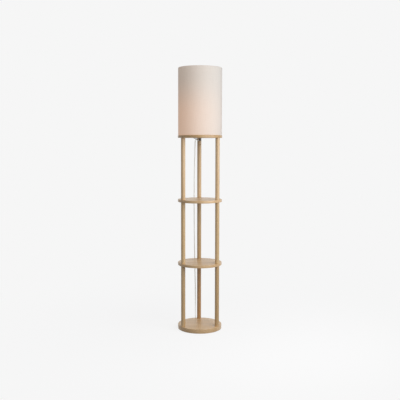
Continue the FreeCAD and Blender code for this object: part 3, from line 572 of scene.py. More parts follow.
def linen_finish():
    """Plain-woven linen mix, glued on film: matt, a little uneven, with slubs; with a warm glow painted where the bulb
    shines through.
    """
    shade = bpy.context.scene.lamp_shade
    material, tree, shader = new_finish(
        "woven_linen", Roughness=0.9, Sheen_Weight=0.15, Sheen_Roughness=0.5, IOR=1.45, Specular_IOR_Level=0.25,
        Emission_Strength=shade.glow_strength)
    place = cloth_place(tree, 0.128)
    # threads drawn 0.9 mm apart, about half as fine as the real weave
    pitch = math.tau / (20 * shade.thread)
    threads = {"Vector": place, "Scale": pitch, "Distortion": 0.6, "Detail": 1.0, "Detail Scale": 0.02}
    across = add_node(tree, "TexWave", threads, bands_direction="X")
    up = add_node(tree, "TexWave", threads, bands_direction="Y")
    weave = add_node(tree, "Math", {0: across.outputs["Fac"], 1: up.outputs["Fac"]}, operation="MULTIPLY")
    # slubs: thicker stretches of thread, 20 to 60 mm long and under 2 mm high
    slub_run = add_node(tree, "Mapping", {"Vector": place, "Scale": (24, 620, 1)})
    slubs = add_node(tree, "TexNoise", {"Vector": slub_run, "Scale": 1.0, "Detail": 2.0})
    warp_run = add_node(tree, "Mapping", {"Vector": place, "Scale": (560, 14, 1)})
    warps = add_node(tree, "TexNoise", {"Vector": warp_run, "Scale": 1.0, "Detail": 2.0})
    uneven = add_node(tree, "Math", {0: slubs.outputs["Fac"], 1: warps.outputs["Fac"]}, operation="ADD")
    level = add_node(tree, "Math", {0: weave, 1: 0.35, 2: uneven}, operation="MULTIPLY_ADD")
    tint = add_node(tree, "MapRange", {0: level, 1: 0.7, 2: 1.5, 3: 0.93, 4: 1.04})
    dyed = add_node(tree, "HueSaturation", {"Value": tint, "Color": linear(shade.cloth)})
    relief = add_node(tree, "Bump", {"Height": level, "Strength": 0.35, "Distance": 0.0002})
    # painted glow: emission strongest on the front left of the drum, away from the key light, standing for the bulb's
    # light and the key light coming through the cloth
    glow = painted_glow_colour(tree, (-0.075, -0.075, 0), (0.03, 0.31), shade.glow, "#d2b69c")
    feed(shader, {"Base Color": dyed, "Normal": relief, "Emission Color": glow})
    return material


def liner_finish():
    """White styrene film behind the cloth: smooth, satin, with a warm glow painted round the bulb."""
    material, tree, shader = new_finish("styrene_film", Roughness=0.55, Emission_Strength=0.3, IOR=1.55)
    place = cloth_place(tree, 0.127)
    cloud = add_node(tree, "TexNoise", {"Vector": place, "Scale": 60.0, "Detail": 3.0})
    colour = add_node(tree, "ValToRGB", {"Fac": cloud.outputs["Fac"]}, stops=[(0.3, "#ebe5da"), (0.7, "#f3eee5")])
    ripple = add_node(tree, "Bump", {"Height": cloud.outputs["Fac"], "Strength": 0.2, "Distance": 0.0003})
    glow = painted_glow_colour(tree, (0, 0, 0), (0.1, 0.3), "#ffc58e", "#b98f68")
    feed(shader, {"Base Color": colour, "Normal": ripple, "Emission Color": glow})
    return material


def mottled_finish(name, colours, grain, depth, rough, surface):
    """A finish with fine mottling, from one row of the table below."""
    material, tree, shader = new_finish(name, **surface)
    place = add_node(tree, "TexCoord").outputs["Object"]
    speck = add_node(tree, "TexNoise", {"Vector": place, "Scale": 1 / (grain * MM), "Detail": 4.0})
    colour = add_node(tree, "ValToRGB", {"Fac": speck.outputs["Fac"]}, stops=[(0.3, colours[0]), (0.7, colours[1])])
    shine = add_node(tree, "MapRange", {0: speck.outputs["Fac"], 3: rough[0], 4: rough[1]})
    relief = add_node(tree, "Bump", {"Height": speck.outputs["Fac"], "Strength": 0.4, "Distance": depth * MM})
    feed(shader, {"Base Color": colour, "Roughness": shine, "Normal": relief})
    return material


def cord_finish():
    """Clear vinyl over silvered strands: glossy, with the strands' lay showing as fine slanting lines."""
    cord = bpy.context.scene.lamp_cord
    material, tree, shader = new_finish(
        "clear_silver_cord", Roughness=0.3, Coat_Weight=0.6, Coat_Roughness=0.08, IOR=1.53, Metallic=0.7)
    lay = add_node(tree, "UVMap", uv_map="along_cord")
    # U runs once round the cord and V is metres along it; a strand crosses in about 9 mm
    slanted = add_node(tree, "Mapping", {"Vector": lay, "Scale": (6, 240, 1)})
    strands = add_node(
        tree, "TexWave", {"Vector": slanted, "Scale": 0.32, "Distortion": 0.4}, bands_direction="DIAGONAL")
    colour = add_node(tree, "ValToRGB", {"Fac": strands.outputs["Fac"]}, stops=[(0.1, "#dcddd7"), (0.7, cord.silver)])
    relief = add_node(tree, "Bump", {"Height": strands.outputs["Fac"], "Strength": 0.2, "Distance": 0.0001})
    feed(shader, {"Base Color": colour, "Normal": relief})
    return material


def globe_finish():
    """Opal polycarbonate over warm light-emitting diodes: even and softly lit."""
    material, tree, shader = new_finish("opal_globe", Roughness=0.35, Emission_Strength=1.3, IOR=1.58, Coat_Weight=0.3)
    place = add_node(tree, "TexCoord").outputs["Object"]
    # amber at the seam and paler 40 mm up
    height = add_node(tree, "SeparateXYZ", {0: place}).outputs["Z"]
    share = add_node(tree, "MapRange", {0: height, 1: 1.256, 2: 1.296})
    light = add_node(tree, "ValToRGB", {"Fac": share}, stops=[(0.0, "#f4b672"), (0.35, "#ffd9a6"), (1.0, "#ffe4bd")])
    speck = add_node(tree, "TexNoise", {"Vector": place, "Scale": 900.0})
    colour = add_node(tree, "ValToRGB", {"Fac": speck.outputs["Fac"]}, stops=[(0.3, "#f1ece2"), (0.7, "#f8f4ec")])
    feed(shader, {"Base Color": colour, "Emission Color": light})
    return material


METAL = {"Metallic": 1.0}

# Finishes with a fine mottling, by slot: name, two colours, size of grain and depth of relief in mm, range of
# roughness, and other constants of the surface.
MOTTLED = {
    # Pressed wool felt: matt brown with loose fibres that catch the light
    "felt": ("wool_felt", ("#51463b", "#766858"), 0.7, 0.25, (0.9, 1.0), {"Sheen_Weight": 0.5}),
    # Zinc plate on steel: pale bluish grey with a faint bloom
    "zinc_steel": ("zinc_plated_steel", ("#a5a7a6", "#c2c4c3"), 1.2, 0.02, (0.28, 0.42), METAL),
    # Dark nickel plate: brownish grey, half bright
    "dark_steel": ("dark_nickel_plate", ("#57504a", "#6b635b"), 0.9, 0.02, (0.25, 0.38), METAL),
    # Powder coat: white with the fine orange peel that baking leaves
    "white_wire": ("white_powder_coat", ("#dfdcd5", "#eae7e1"), 0.8, 0.06, (0.38, 0.5), {}),
    # Plated brass shell, spun: warm and bright, with fine swirls of handling
    "holder_metal": ("plated_brass", ("#a98c56", "#c3a670"), 1.5, 0.01, (0.2, 0.34), METAL),
    # Phenolic: black, moulded, half gloss
    "holder_plastic": ("black_phenolic", ("#1b1917", "#262320"), 0.6, 0.03, (0.32, 0.45), {}),
    # Glazed porcelain: bright glaze over a faintly uneven body
    "porcelain": ("glazed_porcelain", ("#e6e3da", "#efece4"), 2.5, 0.03, (0.12, 0.2), {"Coat_Weight": 0.5}),
    # Fibre card: brown, dull, with flecks
    "card_sleeve": ("fibre_card", ("#7d6a4f", "#99866a"), 0.5, 0.06, (0.8, 0.95), {}),
    # Brass, pressed and left bare: yellow, slightly dulled
    "brass": ("plain_brass", ("#b18f4a", "#caa962"), 1.0, 0.01, (0.22, 0.36), METAL),
    # Solder: grey, dull, dimpled
    "bulb_contact": ("tinned_contact", ("#999a97", "#b5b6b3"), 0.8, 0.05, (0.35, 0.5), METAL),
    # Nickel plate on rolled brass: pale and bright
    "bulb_cap": ("nickel_plated_cap", ("#b9b7b0", "#d0cec8"), 1.2, 0.01, (0.2, 0.32), METAL),
    # Moulded polycarbonate: white, fine spark-eroded texture
    "bulb_plastic": ("white_moulded_plastic", ("#e8e6e0", "#f1efea"), 0.5, 0.03, (0.35, 0.45), {}),
    # Solder mask on a circuit board: creamy white, half gloss
    "led_board": ("white_circuit_board", ("#e6e2cf", "#efecdc"), 0.7, 0.02, (0.4, 0.5), {}),
    # Bead chain: nickel plate dulled by handling
    "bead_chain": ("nickel_bead_chain", ("#9d958a", "#b7afa3"), 0.5, 0.02, (0.2, 0.34), METAL),
    # Turned drop, bronze plated: brownish and bright
    "pull_end": ("plated_drop", ("#8c7a5b", "#a8946f"), 0.8, 0.01, (0.2, 0.32), METAL),
    # Nylon: dark brown, dull from its mould
    "dark_plastic": ("dark_moulded_nylon", ("#43392f", "#52473c"), 0.5, 0.04, (0.42, 0.55), {}),
    # Nylon: smoky, half clear
    "clear_plastic": ("smoky_nylon", ("#5f564d", "#70665c"), 0.6, 0.03, (0.3, 0.42), {}),
    # Nylon tie: white, thin, slightly ribbed by its mould
    "tie": ("white_nylon", ("#dcdcd8", "#e8e8e4"), 0.6, 0.04, (0.4, 0.5), {}),
    # Clear vinyl moulded over the cord's end: grey where it is thick
    "clear_plug": ("clear_vinyl", ("#a5a7a0", "#bcbdb6"), 1.5, 0.04, (0.18, 0.28), {"Coat_Weight": 0.4}),
    # Stamped brass: bright, with fine marks of the press
    "blade_brass": ("stamped_brass", ("#b4954f", "#cdb06c"), 0.9, 0.02, (0.25, 0.38), METAL),
}


def make_finishes():
    """All the finishes by the name of the record's slot that they stand for."""
    finishes = {
        "lacquered_wood": wood_finish("lacquered_posts", False),
        "lacquered_shelf": wood_finish("lacquered_shelves", True),
        "shade_linen": linen_finish(),
        "shade_liner": liner_finish(),
        "clear_cord": cord_finish(),
        "opal_globe": globe_finish(),
    }
    for slot, (name, colours, grain, depth, rough, surface) in MOTTLED.items():
        finishes[slot] = mottled_finish(name, colours, grain, depth, rough, surface)
    return finishes


FINISHES = {}

# Solids that stay as they are, by slot: their shape is right and only their finish is made here.
KEPT_SOLIDS = {
    "brass": ["screw_shell", "centre_contact", "chain_guide"],
    "zinc_steel": ["post_inserts", "post_studs", "base_washers", "base_bolts", "top_washers", "top_bolts", "nipple"],
    "dark_steel": ["nipple_washer", "nipple_nut", "chain_eyelet", "clip_screw"],
    "white_wire": ["shade_top_ring"],
    "holder_metal": ["holder_shell"],
    "holder_plastic": ["switch_block", "holder_ring_nut"],
    "porcelain": ["holder_insulator"],
    "card_sleeve": ["holder_sleeve"],
    "bulb_contact": ["bulb_tip"],
    "led_board": ["led_plate"],
}


# ---------------------------------------------------------------- operators, one for each piece or group


class LAMP_OT_camera(bpy.types.Operator):
    """Place the camera where the photograph was taken from"""
    bl_idname = "lamp.camera"
    bl_label = "Camera"

    def execute(self, context):
        clear_selection()
        bpy.ops.object.camera_add(location=CAMERA_PLACE, rotation=[math.radians(angle) for angle in CAMERA_TURN])
        camera = bpy.context.object
        camera.name = "photograph_camera"
        camera.data.lens = bpy.context.scene.lamp_stage.lens
        camera.data.sensor_width = 36.0
        bpy.context.scene.camera = camera
        return {"FINISHED"}


def coil_point(turns):
    """Centre of the put-away cord after some turns, in mm: it winds in on the lower layer and out on the upper."""
    half = COIL_TURNS / 2
    radius = COIL_RADIUS - COIL_PITCH * (half - abs(turns - half))
    climbed = min(max((turns - half) * 2 + 0.5, 0.0), 1.0)
    turn = math.tau * turns - math.pi / 2
    x, y = COIL_CENTRE
    return x + radius * math.cos(turn), y + radius * math.sin(turn), COIL_LOW + COIL_LIFT * climbed


def cord_line():
    """Points along the cord's own smooth line, read from its spline."""
    count = COIL_POINTS * COIL_TURNS
    coil = [coil_point(k / COIL_POINTS) for k in range(count + 1)]
    route = HANGING_ROUTE + coil + TAIL_ROUTE
    line = bpy.data.curves.new("cord_route", "CURVE")
    line.dimensions = "3D"
    line.resolution_u = 10
    spline = line.splines.new("NURBS")
    spline.points.add(len(route) - 1)
    for entry, place in zip(spline.points, route):
        entry.co = (*(value * MM for value in place), 1.0)
    spline.order_u = 3
    spline.use_endpoint_u = True
    carrier = bpy.data.objects.new("cord_route", line)
    bpy.context.scene.collection.objects.link(carrier)
    drawn = bpy.data.meshes.new_from_object(carrier)
    points = [vertex.co.copy() for vertex in drawn.vertices]
    bpy.data.objects.remove(carrier)
    bpy.data.meshes.remove(drawn)
    return points


def twin_section(width, thickness):
    """Outline of flat twin cord: two round cores side by side with a groove between them."""
    core = thickness / 2
    offset = width / 2 - core
    turns = [math.radians(angle) for angle in range(-140, 141, 40)]
    right = [(offset + core * math.cos(turn), core * math.sin(turn)) for turn in turns]
    return right + [(-x, -y) for x, y in right]


def swept_cord(points, section):
    """The cord's mesh: its section carried along its line, with a UV map of turns round it and metres along it."""
    sides, last = len(section), len(points) - 1
    heading = math.radians(CORD_HEADING)
    across = Vector((math.cos(heading), math.sin(heading), 0))
    verts, travelled = [], [0.0]
    for k, point in enumerate(points):
        if k:
            travelled.append(travelled[-1] + (point - points[k - 1]).length)
        run = (points[min(k + 1, last)] - points[max(k - 1, 0)]).normalized()
        across = (across - run * across.dot(run)).normalized()
        # upright behind the stand, the section turns a quarter on its way down, so that the cord then lies flat
        share = min(max((travelled[-1] / MM - TWIST_START) / (TWIST_END - TWIST_START), 0.0), 1.0)
        twist = math.pi / 2 * share * share * (3 - 2 * share)
        wide = across * math.cos(twist) + run.cross(across) * math.sin(twist)
        upward = run.cross(wide)
        verts += [point + wide * x + upward * y for x, y in section]
    cells = [(k, side) for k in range(last) for side in range(sides)]
    faces = []
    for k, side in cells:
        here, there, following = k * sides, (k + 1) * sides, (side + 1) % sides
        faces.append((here + side, here + following, there + following, there + side))
    faces.append(tuple(reversed(range(sides))))
    faces.append(tuple(last * sides + side for side in range(sides)))
    mesh = bpy.data.meshes.new("mains_cord")
    mesh.from_pydata(verts, [], faces)
    layer = mesh.uv_layers.new(name="along_cord")
    for (k, side), face in zip(cells, mesh.polygons):
        corners = ((side, k), (side + 1, k), (side + 1, k + 1), (side, k + 1))
        for loop, (turn, place) in zip(face.loop_indices, corners):
            layer.data[loop].uv = (turn / sides, travelled[place])
    return mesh


class LAMP_OT_cord(bpy.types.Operator):
    """Draw the flat twin cord along its route, with the tie round its coil"""
    bl_idname = "lamp.cord"
    bl_label = "Cord"

    def execute(self, context):
        size = bpy.context.scene.lamp_cord
        points = cord_line()
        cord = bpy.data.objects.new("mains_cord", swept_cord(points, twin_section(size.width, size.thickness)))
        bpy.context.scene.collection.objects.link(cord)
        take_up(cord)
        bpy.ops.object.mode_set(mode="EDIT")
        close_up(CORD_SMOOTH_ANGLE)
        fit(cord, "clear_cord", "cord_hang", "cord_coil", "cord_tail")
        tie = self.tie()
        return {"FINISHED"}

    def tie(self):
        """A flat band drawn snug round both layers at the coil's far side."""
        x, y, _ = coil_point(0.5)
        low, high = 0.6, COIL_LOW + COIL_LIFT + 1.45
        reach, wall = 3.0, 0.6
        side = reach + wall
        band = bent_strip(
            "coil_tie_band", [(-side, low - wall), (side, low - wall), (side, high + wall), (-side, high + wall)], 5.0)
        bore = bent_strip("tie_bore", [(-reach, low), (reach, low), (reach, high), (-reach, high)], 6.0)
        combine(band, [bore], "DIFFERENCE")
        head = block((-side - 0.1, -2.0, low + 0.8), (-side + 0.1, 2.0, high - 0.8))
        combine(band, [head], "UNION")
        soften(band, 0.25)
        settle(band, (x, y, 0), 90.0)
        return fit(band, "tie", "coil_tie")


class LAMP_OT_plug(bpy.types.Operator):
    """Mould the clear plug with its ribbed relief and its two blades"""
    bl_idname = "lamp.plug"
    bl_label = "Plug"

    def execute(self, context):
        sections = [(0.0, 6.4, 6.4), (0.4, 7.2, 7.2)]
        for k in range(5):
            # ribs of the relief, 2.6 mm apart
            start, wide = 1.4 + 2.6 * k, 7.3 + 0.36 * k
            thin = wide - 1.0
            sections += [(start, wide, wide), (start + 0.2, thin, thin), (start + 1.1, thin, thin)]
            sections.append((start + 1.3, wide, wide))
        sections += [
            (14.9, 9.0, 9.0), (15.1, 12.5, 9.6), (16.0, 14.6, 10.9), (18.5, 17.6, 12.6), (22.4, 20.0, 13.9),
            (27.0, 19.0, 13.3), (31.0, 17.4, 12.7), (35.0, 16.8, 12.5), (38.6, 17.0, 12.5), (39.6, 16.6, 12.1),
            (39.9, 15.6, 11.2),
        ]
        body = drawn_out("plug_moulding", sections)
        bead = drawn_out("seam", [(16.5, 15.8, 0.5), (22.4, 20.5, 0.5), (31.0, 17.8, 0.5), (39.3, 16.9, 0.5)])
        combine(body, [bead], "UNION")
        settle(body, TAIL_ROUTE[-1], PLUG_HEADING)
        fit(body, "clear_plug", "plug_body")
        blades = []
        for y, width in ((-6.35, 6.3), (6.35, 7.9)):
            half = width / 2
            outline = [(34.0, -half), (54.9, -half), (56.4, -half + 1.6)]
            outline += [(56.4, half - 1.6), (54.9, half), (34.0, half)]
            blade = bent_strip("blade", outline, 1.5)
            hole = rod("hole", (0.0525, -0.01, 0), (0.0525, 0.01, 0), 1.6, 24)
            combine(blade, [hole], "DIFFERENCE")
            soften(blade, 0.2)
            blades.append(settle(blade, (0, y, 0)))
        pair = gathered("plug_contact_blades", blades)
        settle(pair, TAIL_ROUTE[-1], PLUG_HEADING)
        fit(pair, "blade_brass", "plug_blades")
        return {"FINISHED"}


def wooden_disc(name, low, high, number, tone_and_shade, bores):
    """A disc of edge-glued strips: turned, its rims rounded, then bored."""
    clear_selection()
    bpy.ops.mesh.primitive_cylinder_add(
        vertices=160, radius=DISC_RADIUS * MM, depth=(high - low) * MM, location=(0, 0, (low + high) / 2 * MM))
    disc = named(bpy.context.object, name + "_wood")
    apply_place()
    bpy.ops.object.mode_set(mode="EDIT")
    bpy.ops.mesh.select_all(action="DESELECT")
    bpy.ops.object.mode_set(mode="OBJECT")
    for edge in disc.data.edges:
        first, second = (disc.data.vertices[v].co for v in edge.vertices)
        edge.select = abs(first.z - second.z) < SAME_PLACE    # the two rims, not the upright edges
    bpy.ops.object.mode_set(mode="EDIT")
    bpy.ops.mesh.select_mode(type="EDGE")
    bpy.ops.mesh.bevel(offset=DISC_EDGE * MM, segments=5, affect="EDGES")
    bpy.ops.mesh.select_mode(type="VERT")
    close_up()
    combine(disc, [cutter(*bore) for bore in bores], "DIFFERENCE")
    shift_grain(disc, number, tone_and_shade)
    return fit(disc, "lacquered_wood", name, finish="lacquered_shelf")


class LAMP_OT_discs(bpy.types.Operator):
    """Turn the base, the two shelves and the top disc"""
    bl_idname = "lamp.discs"
    bl_label = "Discs"

    def execute(self, context):
        # each bore's cutter reaches past the faces that it opens
        base_bores = self.at_posts(STUD_BORE, 1.0, 30.0) + self.at_posts(BOLT_RECESS, 0.0, 9.5)
        # the base and the shelves take the light tone, which is partly painted light, and the top disc the deep one,
        # painted shade
        wooden_disc("base_disc", BASE_LOW, BASE_HIGH, 1, "light", base_bores)
        for name, low, number in (("lower_shelf", LOWER_SHELF, 2), ("upper_shelf", UPPER_SHELF, 3)):
            high = low + SHELF_THICKNESS
            wooden_disc(name, low, high, number, "light", self.at_posts(STUD_BORE, low - 6.5, high + 8.5))
        top_bores = self.at_posts(STUD_BORE, 1130, 1160) + self.at_posts(BOLT_RECESS, 1145.5, 1155)
        top_bores += [(NIPPLE_BORE, 1130, 1160, 0, 0), (EYELET_BORE, 1130, 1160, 0, -CHAIN_REACH)]
        wooden_disc("top_disc", TOP_DISC, TOP_DISC_HIGH, 4, "deep", top_bores)
        return {"FINISHED"}

    def at_posts(self, radius, low, high):
        """The same bore at each of the three posts."""
        return [(radius, low, high, *spot_around(POST_CIRCLE, angle)) for angle in POST_ANGLES.values()]


class LAMP_OT_posts(bpy.types.Operator):
    """Turn the nine posts with their chamfered, bored ends"""
    bl_idname = "lamp.posts"
    bl_label = "Posts"

    def execute(self, context):
        number = 10
        for level, low in BAY_FLOORS.items():
            high = low + BAY_HEIGHT
            end = POST_RADIUS - POST_CHAMFER
            outline = [(0, low + INSERT_DEPTH), (INSERT_BORE, low + INSERT_DEPTH), (INSERT_BORE, low), (end, low)]
            outline += [(POST_RADIUS, z) for z in (low + POST_CHAMFER, low + 120, low + 240, high - POST_CHAMFER)]
            outline += [(end, high), (INSERT_BORE, high), (INSERT_BORE, high - INSERT_DEPTH), (0, high - INSERT_DEPTH)]
            for side, angle in POST_ANGLES.items():
                name = f"post_{level}_{side}"
                post = turned(name + "_wood", outline, spot_around(POST_CIRCLE, angle), 48)
                # the lower posts and the back posts take darker tones, painted shade
                shift_grain(post, number, (BACK_POST_TONE_AND_SHADE if side == "back" else SIDE_POST_TONE_AND_SHADE)[level])
                fit(post, "lacquered_wood", name)
                number += 1
        return {"FINISHED"}


class LAMP_OT_feet(bpy.types.Operator):
    """Cut the three felt pads under the base"""
    bl_idname = "lamp.feet"
    bl_label = "Felt Pads"

    def execute(self, context):
        outline = [(0, 0), (11.6, 0), (12.0, 0.35), (11.8, 0.8), (12.0, BASE_LOW), (0, BASE_LOW)]
        pads = [turned("pad", outline, spot_around(FOOT_CIRCLE, angle), 40) for angle in FOOT_ANGLES]
        fit(gathered("felt_pads", pads), "felt", "foot_pads")
        return {"FINISHED"}


class LAMP_OT_shade(bpy.types.Operator):
    """Roll the drum shade over its two wire rings, with its liner and its wire frame"""
    bl_idname = "lamp.shade"
    bl_label = "Shade"

    def execute(self, context):
        middle, low, high, lip = RIM_CENTRE, LOWER_RIM, UPPER_RIM, RIM_LIP
        outer, inner = 2.75, 2.15
        outline = [(middle + outer, low + (high - low) * k / 8) for k in range(9)]
        outline += arc((middle, high), outer, 0, 180, 10)[1:]
        outline += [(middle - outer, high - lip), (middle - inner, high - lip)]
        outline += arc((middle, high), inner, 180, 0, 10)
        outline += arc((middle, low), inner, 0, -180, 10)
        outline += [(middle - inner, low + lip), (middle - outer, low + lip)]
        outline += arc((middle, low), outer, -180, 0, 10)[:-1]
        cloth = turned("shade_cloth", outline, steps=144)
        # the lower rim is notched where an arm passes through it
        notches = [settle(block((119.5, -2.8, 1150.0), (125.3, 2.8, 1163.5)), heading=angle) for angle in ARM_ANGLES]
        combine(cloth, notches, "DIFFERENCE")
        fit(cloth, "shade_linen", "shade_fabric")
        film = [(LINER_INSIDE, low), (LINER_OUTSIDE, low), (LINER_OUTSIDE, high), (LINER_INSIDE, high)]
        liner = turned("shade_film", film, steps=144)
        fit(liner, "shade_liner", "shade_liner")
        self.seam()
        self.wire_frame()
        return {"FINISHED"}

    def seam(self):
        """The cloth's overlap at the back, a thread proud."""
        half = SEAM_WIDTH / 2 / DRUM_RADIUS    # half its width, as an angle
        points = []
        for radius, z in ((127.9, LOWER_RIM), (128.35, LOWER_RIM + 0.4), (128.35, UPPER_RIM - 0.4), (127.9, UPPER_RIM)):
            points.append(Vector((radius * math.sin(half), radius * math.cos(half), z)) * MM)
        points.append(points[0])
        strip = start_outline("shade_seam", points[0])
        draw_outline(points)
        bpy.ops.mesh.select_all(action="SELECT")
        bpy.ops.mesh.remove_doubles(threshold=SAME_PLACE)
        bpy.ops.mesh.edge_face_add()
        bpy.ops.mesh.spin(steps=8, angle=2 * half, center=(0, 0, 0), axis=(0, 0, 1))
        close_up()
        soften(strip, 0.12)
        fit(strip, "shade_linen")

    def wire_frame(self):
        """Lower ring, three arms and the fitter ring, welded together."""
        clear_selection()
        bpy.ops.mesh.primitive_torus_add(
            major_radius=RING_RADIUS * MM, minor_radius=RING_WIRE * MM, major_segments=128, minor_segments=12,
            location=(0, 0, LOWER_RIM * MM))
        ring = bpy.context.object
        apply_place()
        bpy.ops.object.shade_smooth()
        parts = [ring]
        for angle in ARM_ANGLES:
            start, end = around(124.4, angle, LOWER_RIM + 0.3), around(25.0, angle, 1185.3)
            parts.append(rod("arm", start, end, ARM_WIRE))
            parts.append(rod("collar", start, start.lerp(end, 0.06), 2.1))
            parts.append(rod("weld", end, start.lerp(end, 0.985), 2.2))
        fitter = turned(
            "fitter", [(18.2, FITTER_LOW), (26.0, FITTER_LOW), (26.0, FITTER_HIGH), (18.2, FITTER_HIGH)], steps=64)
        parts.append(soften(fitter, 0.3))
        fit(gathered("shade_frame", parts), "white_wire", "shade_spider")


class LAMP_OT_holder(bpy.types.Operator):
    """Spin the holder's cap and cut the port that the pull chain's guide sits in"""
    bl_idname = "lamp.holder"
    bl_label = "Lamp Holder"

    def execute(self, context):
        z = TOP_DISC_HIGH
        outline = [(5.05, z), (13.0, z)] + arc((13.0, z + 5.9), 5.9, -90, 0, 8)[1:]
        outline += [(18.9, 1168.0), (19.2, 1168.4), (19.2, 1169.2), (18.9, 1169.6), (18.9, 1176.4), (18.9, 1177.5)]
        outline += [(18.1, 1177.5), (18.1, z + 5.9)] + arc((13.0, z + 5.9), 5.1, 0, -90, 8)[1:]
        outline += [(7.05, z + 0.8), (7.05, z + 8), (5.05, z + 8)]
        cap = turned("holder_cup", outline)
        port = rod("port", (0, 0, CHAIN_PORT * MM), (0, -0.03, CHAIN_PORT * MM), 3.05, 32)
        combine(cap, [port], "DIFFERENCE")
        fit(cap, "holder_metal", "holder_cap")
        return {"FINISHED"}


class LAMP_OT_bulb(bpy.types.Operator):
    """Shape the lit bulb: its rolled thread, flared housing and opal globe"""
    bl_idname = "lamp.bulb"
    bl_label = "Bulb"

    def execute(self, context):
        low = CAP_LOW
        outline = [(4.9, low), (10.0, low), (12.4, low + 2.6)]
        for k in range(5):
            # the rolled thread, turn by turn
            z = low + 3.2 + THREAD_PITCH * k
            outline += [(12.3, z), (12.85, z + 0.9), (13.0, z + 1.5), (12.85, z + 2.1), (12.3, z + 3.0)]
        outline += [(13.0, low + 21.6), (13.0, low + 23.0), (12.5, low + 23.0), (11.7, low + 21.0)]
        outline += [(11.7, low + 3.2), (9.8, low + 0.5), (4.9, low + 0.5)]
        fit(turned("bulb_thread", outline, steps=48), "bulb_cap", "bulb_cap")
        low, high = HOUSING_LOW, HOUSING_HIGH
        outline = [(12.6, low), (14.0, low), (14.1, low + 3), (15.0, low + 10), (16.6, low + 16), (19.0, low + 22.5)]
        outline += [(22.2, low + 29), (26.0, low + 36), (29.0, high - 4), (30.0, high - 2.2), (30.0, high)]
        outline += [(28.6, high), (27.4, high - 4), (24.5, low + 36), (20.7, low + 29), (17.5, low + 22.5)]
        outline += [(15.1, low + 16), (13.5, low + 10), (12.6, low + 3)]
        fit(turned("bulb_housing", outline), "bulb_plastic", "bulb_body")
        low, middle = GLOBE_LOW, GLOBE_LOW + 10
        outline = [(GLOBE_RADIUS, low), (GLOBE_RADIUS, middle)] + arc((0, middle), GLOBE_RADIUS, 0, 90, 14)[1:]
        outline += arc((0, middle), GLOBE_INSIDE, 90, 0, 14) + [(GLOBE_INSIDE, low)]
        fit(turned("bulb_opal", outline), "opal_globe", "bulb_globe")
        return {"FINISHED"}


def one_bead(height):
    """A hollow bead of the pull chain, at a height in mm."""
    clear_selection()
    bpy.ops.mesh.primitive_uv_sphere_add(
        segments=14, ring_count=9, radius=BEAD_RADIUS * MM, location=(0, -CHAIN_REACH * MM, height * MM))
    apply_place()
    bpy.ops.object.shade_smooth()
    return bpy.context.object


def one_link(low, high):
    """A stretch of the link between two beads, between two heights in mm."""
    return rod("link", (0, -CHAIN_REACH * MM, low * MM), (0, -CHAIN_REACH * MM, high * MM), LINK_RADIUS, 8)


def bead_string(name, lowest, count, link_end, node, body):
    """Hollow beads on dumb-bell links: one bead with its link is shaped, and the rest are copies in an array.

    link_end is the stretch of link that ends the string, between two heights in mm.
    """
    bead = one_bead(lowest)
    if count > 1:
        bead = take_up(gathered(name, [bead, one_link(lowest + 1.3, lowest + 2.9)]))
        row = bead.modifiers.new("row", "ARRAY")
        row.count = count - 1
        row.use_relative_offset = False
        row.use_constant_offset = True
        row.constant_offset_displace = (0, 0, BEAD_PITCH * MM)
        bpy.ops.object.modifier_apply(modifier=row.name)
        top = one_bead(lowest + BEAD_PITCH * (count - 1))
        bead = gathered(name, [bead, top, one_link(*link_end)])
    return fit(named(bead, name), "bead_chain", node, body=body)


class LAMP_OT_chain(bpy.types.Operator):
    """String the pull chain and turn its drop"""
    bl_idname = "lamp.chain"
    bl_label = "Pull Chain"

    def execute(self, context):
        # three strings: the first only slides, the swivel bead also swings to the front, and the rest to the sides too
        bead_string("pull_beads", SWIVEL_HEIGHT + BEAD_PITCH, 7, (1134.4, 1135.4), "chain_upper", "pull_slide")
        bead_string("swivel_bead", SWIVEL_HEIGHT, 1, None, "chain_swivel", "chain_bead")
        bead_string("hanging_beads", SWIVEL_HEIGHT - 7 * BEAD_PITCH, 7, (1129.6, 1130.6), "chain_tail", "chain_end")
        top = 1101.4
        outline = [(0, top - 9.0), (1.4, top - 8.7), (2.4, top - 7.6), (3.0, top - 6.2), (3.0, top - 4.9)]
        outline += [(2.6, top - 4.6), (2.6, top - 4.2), (2.9, top - 3.9), (2.3, top - 2.0), (1.7, top - 0.4)]
        outline += [(1.3, top), (0, top)]
        drop = turned("pull_drop", outline, (0, -CHAIN_REACH), 32)
        fit(drop, "pull_end", "pull_end", body="chain_end")
        return {"FINISHED"}


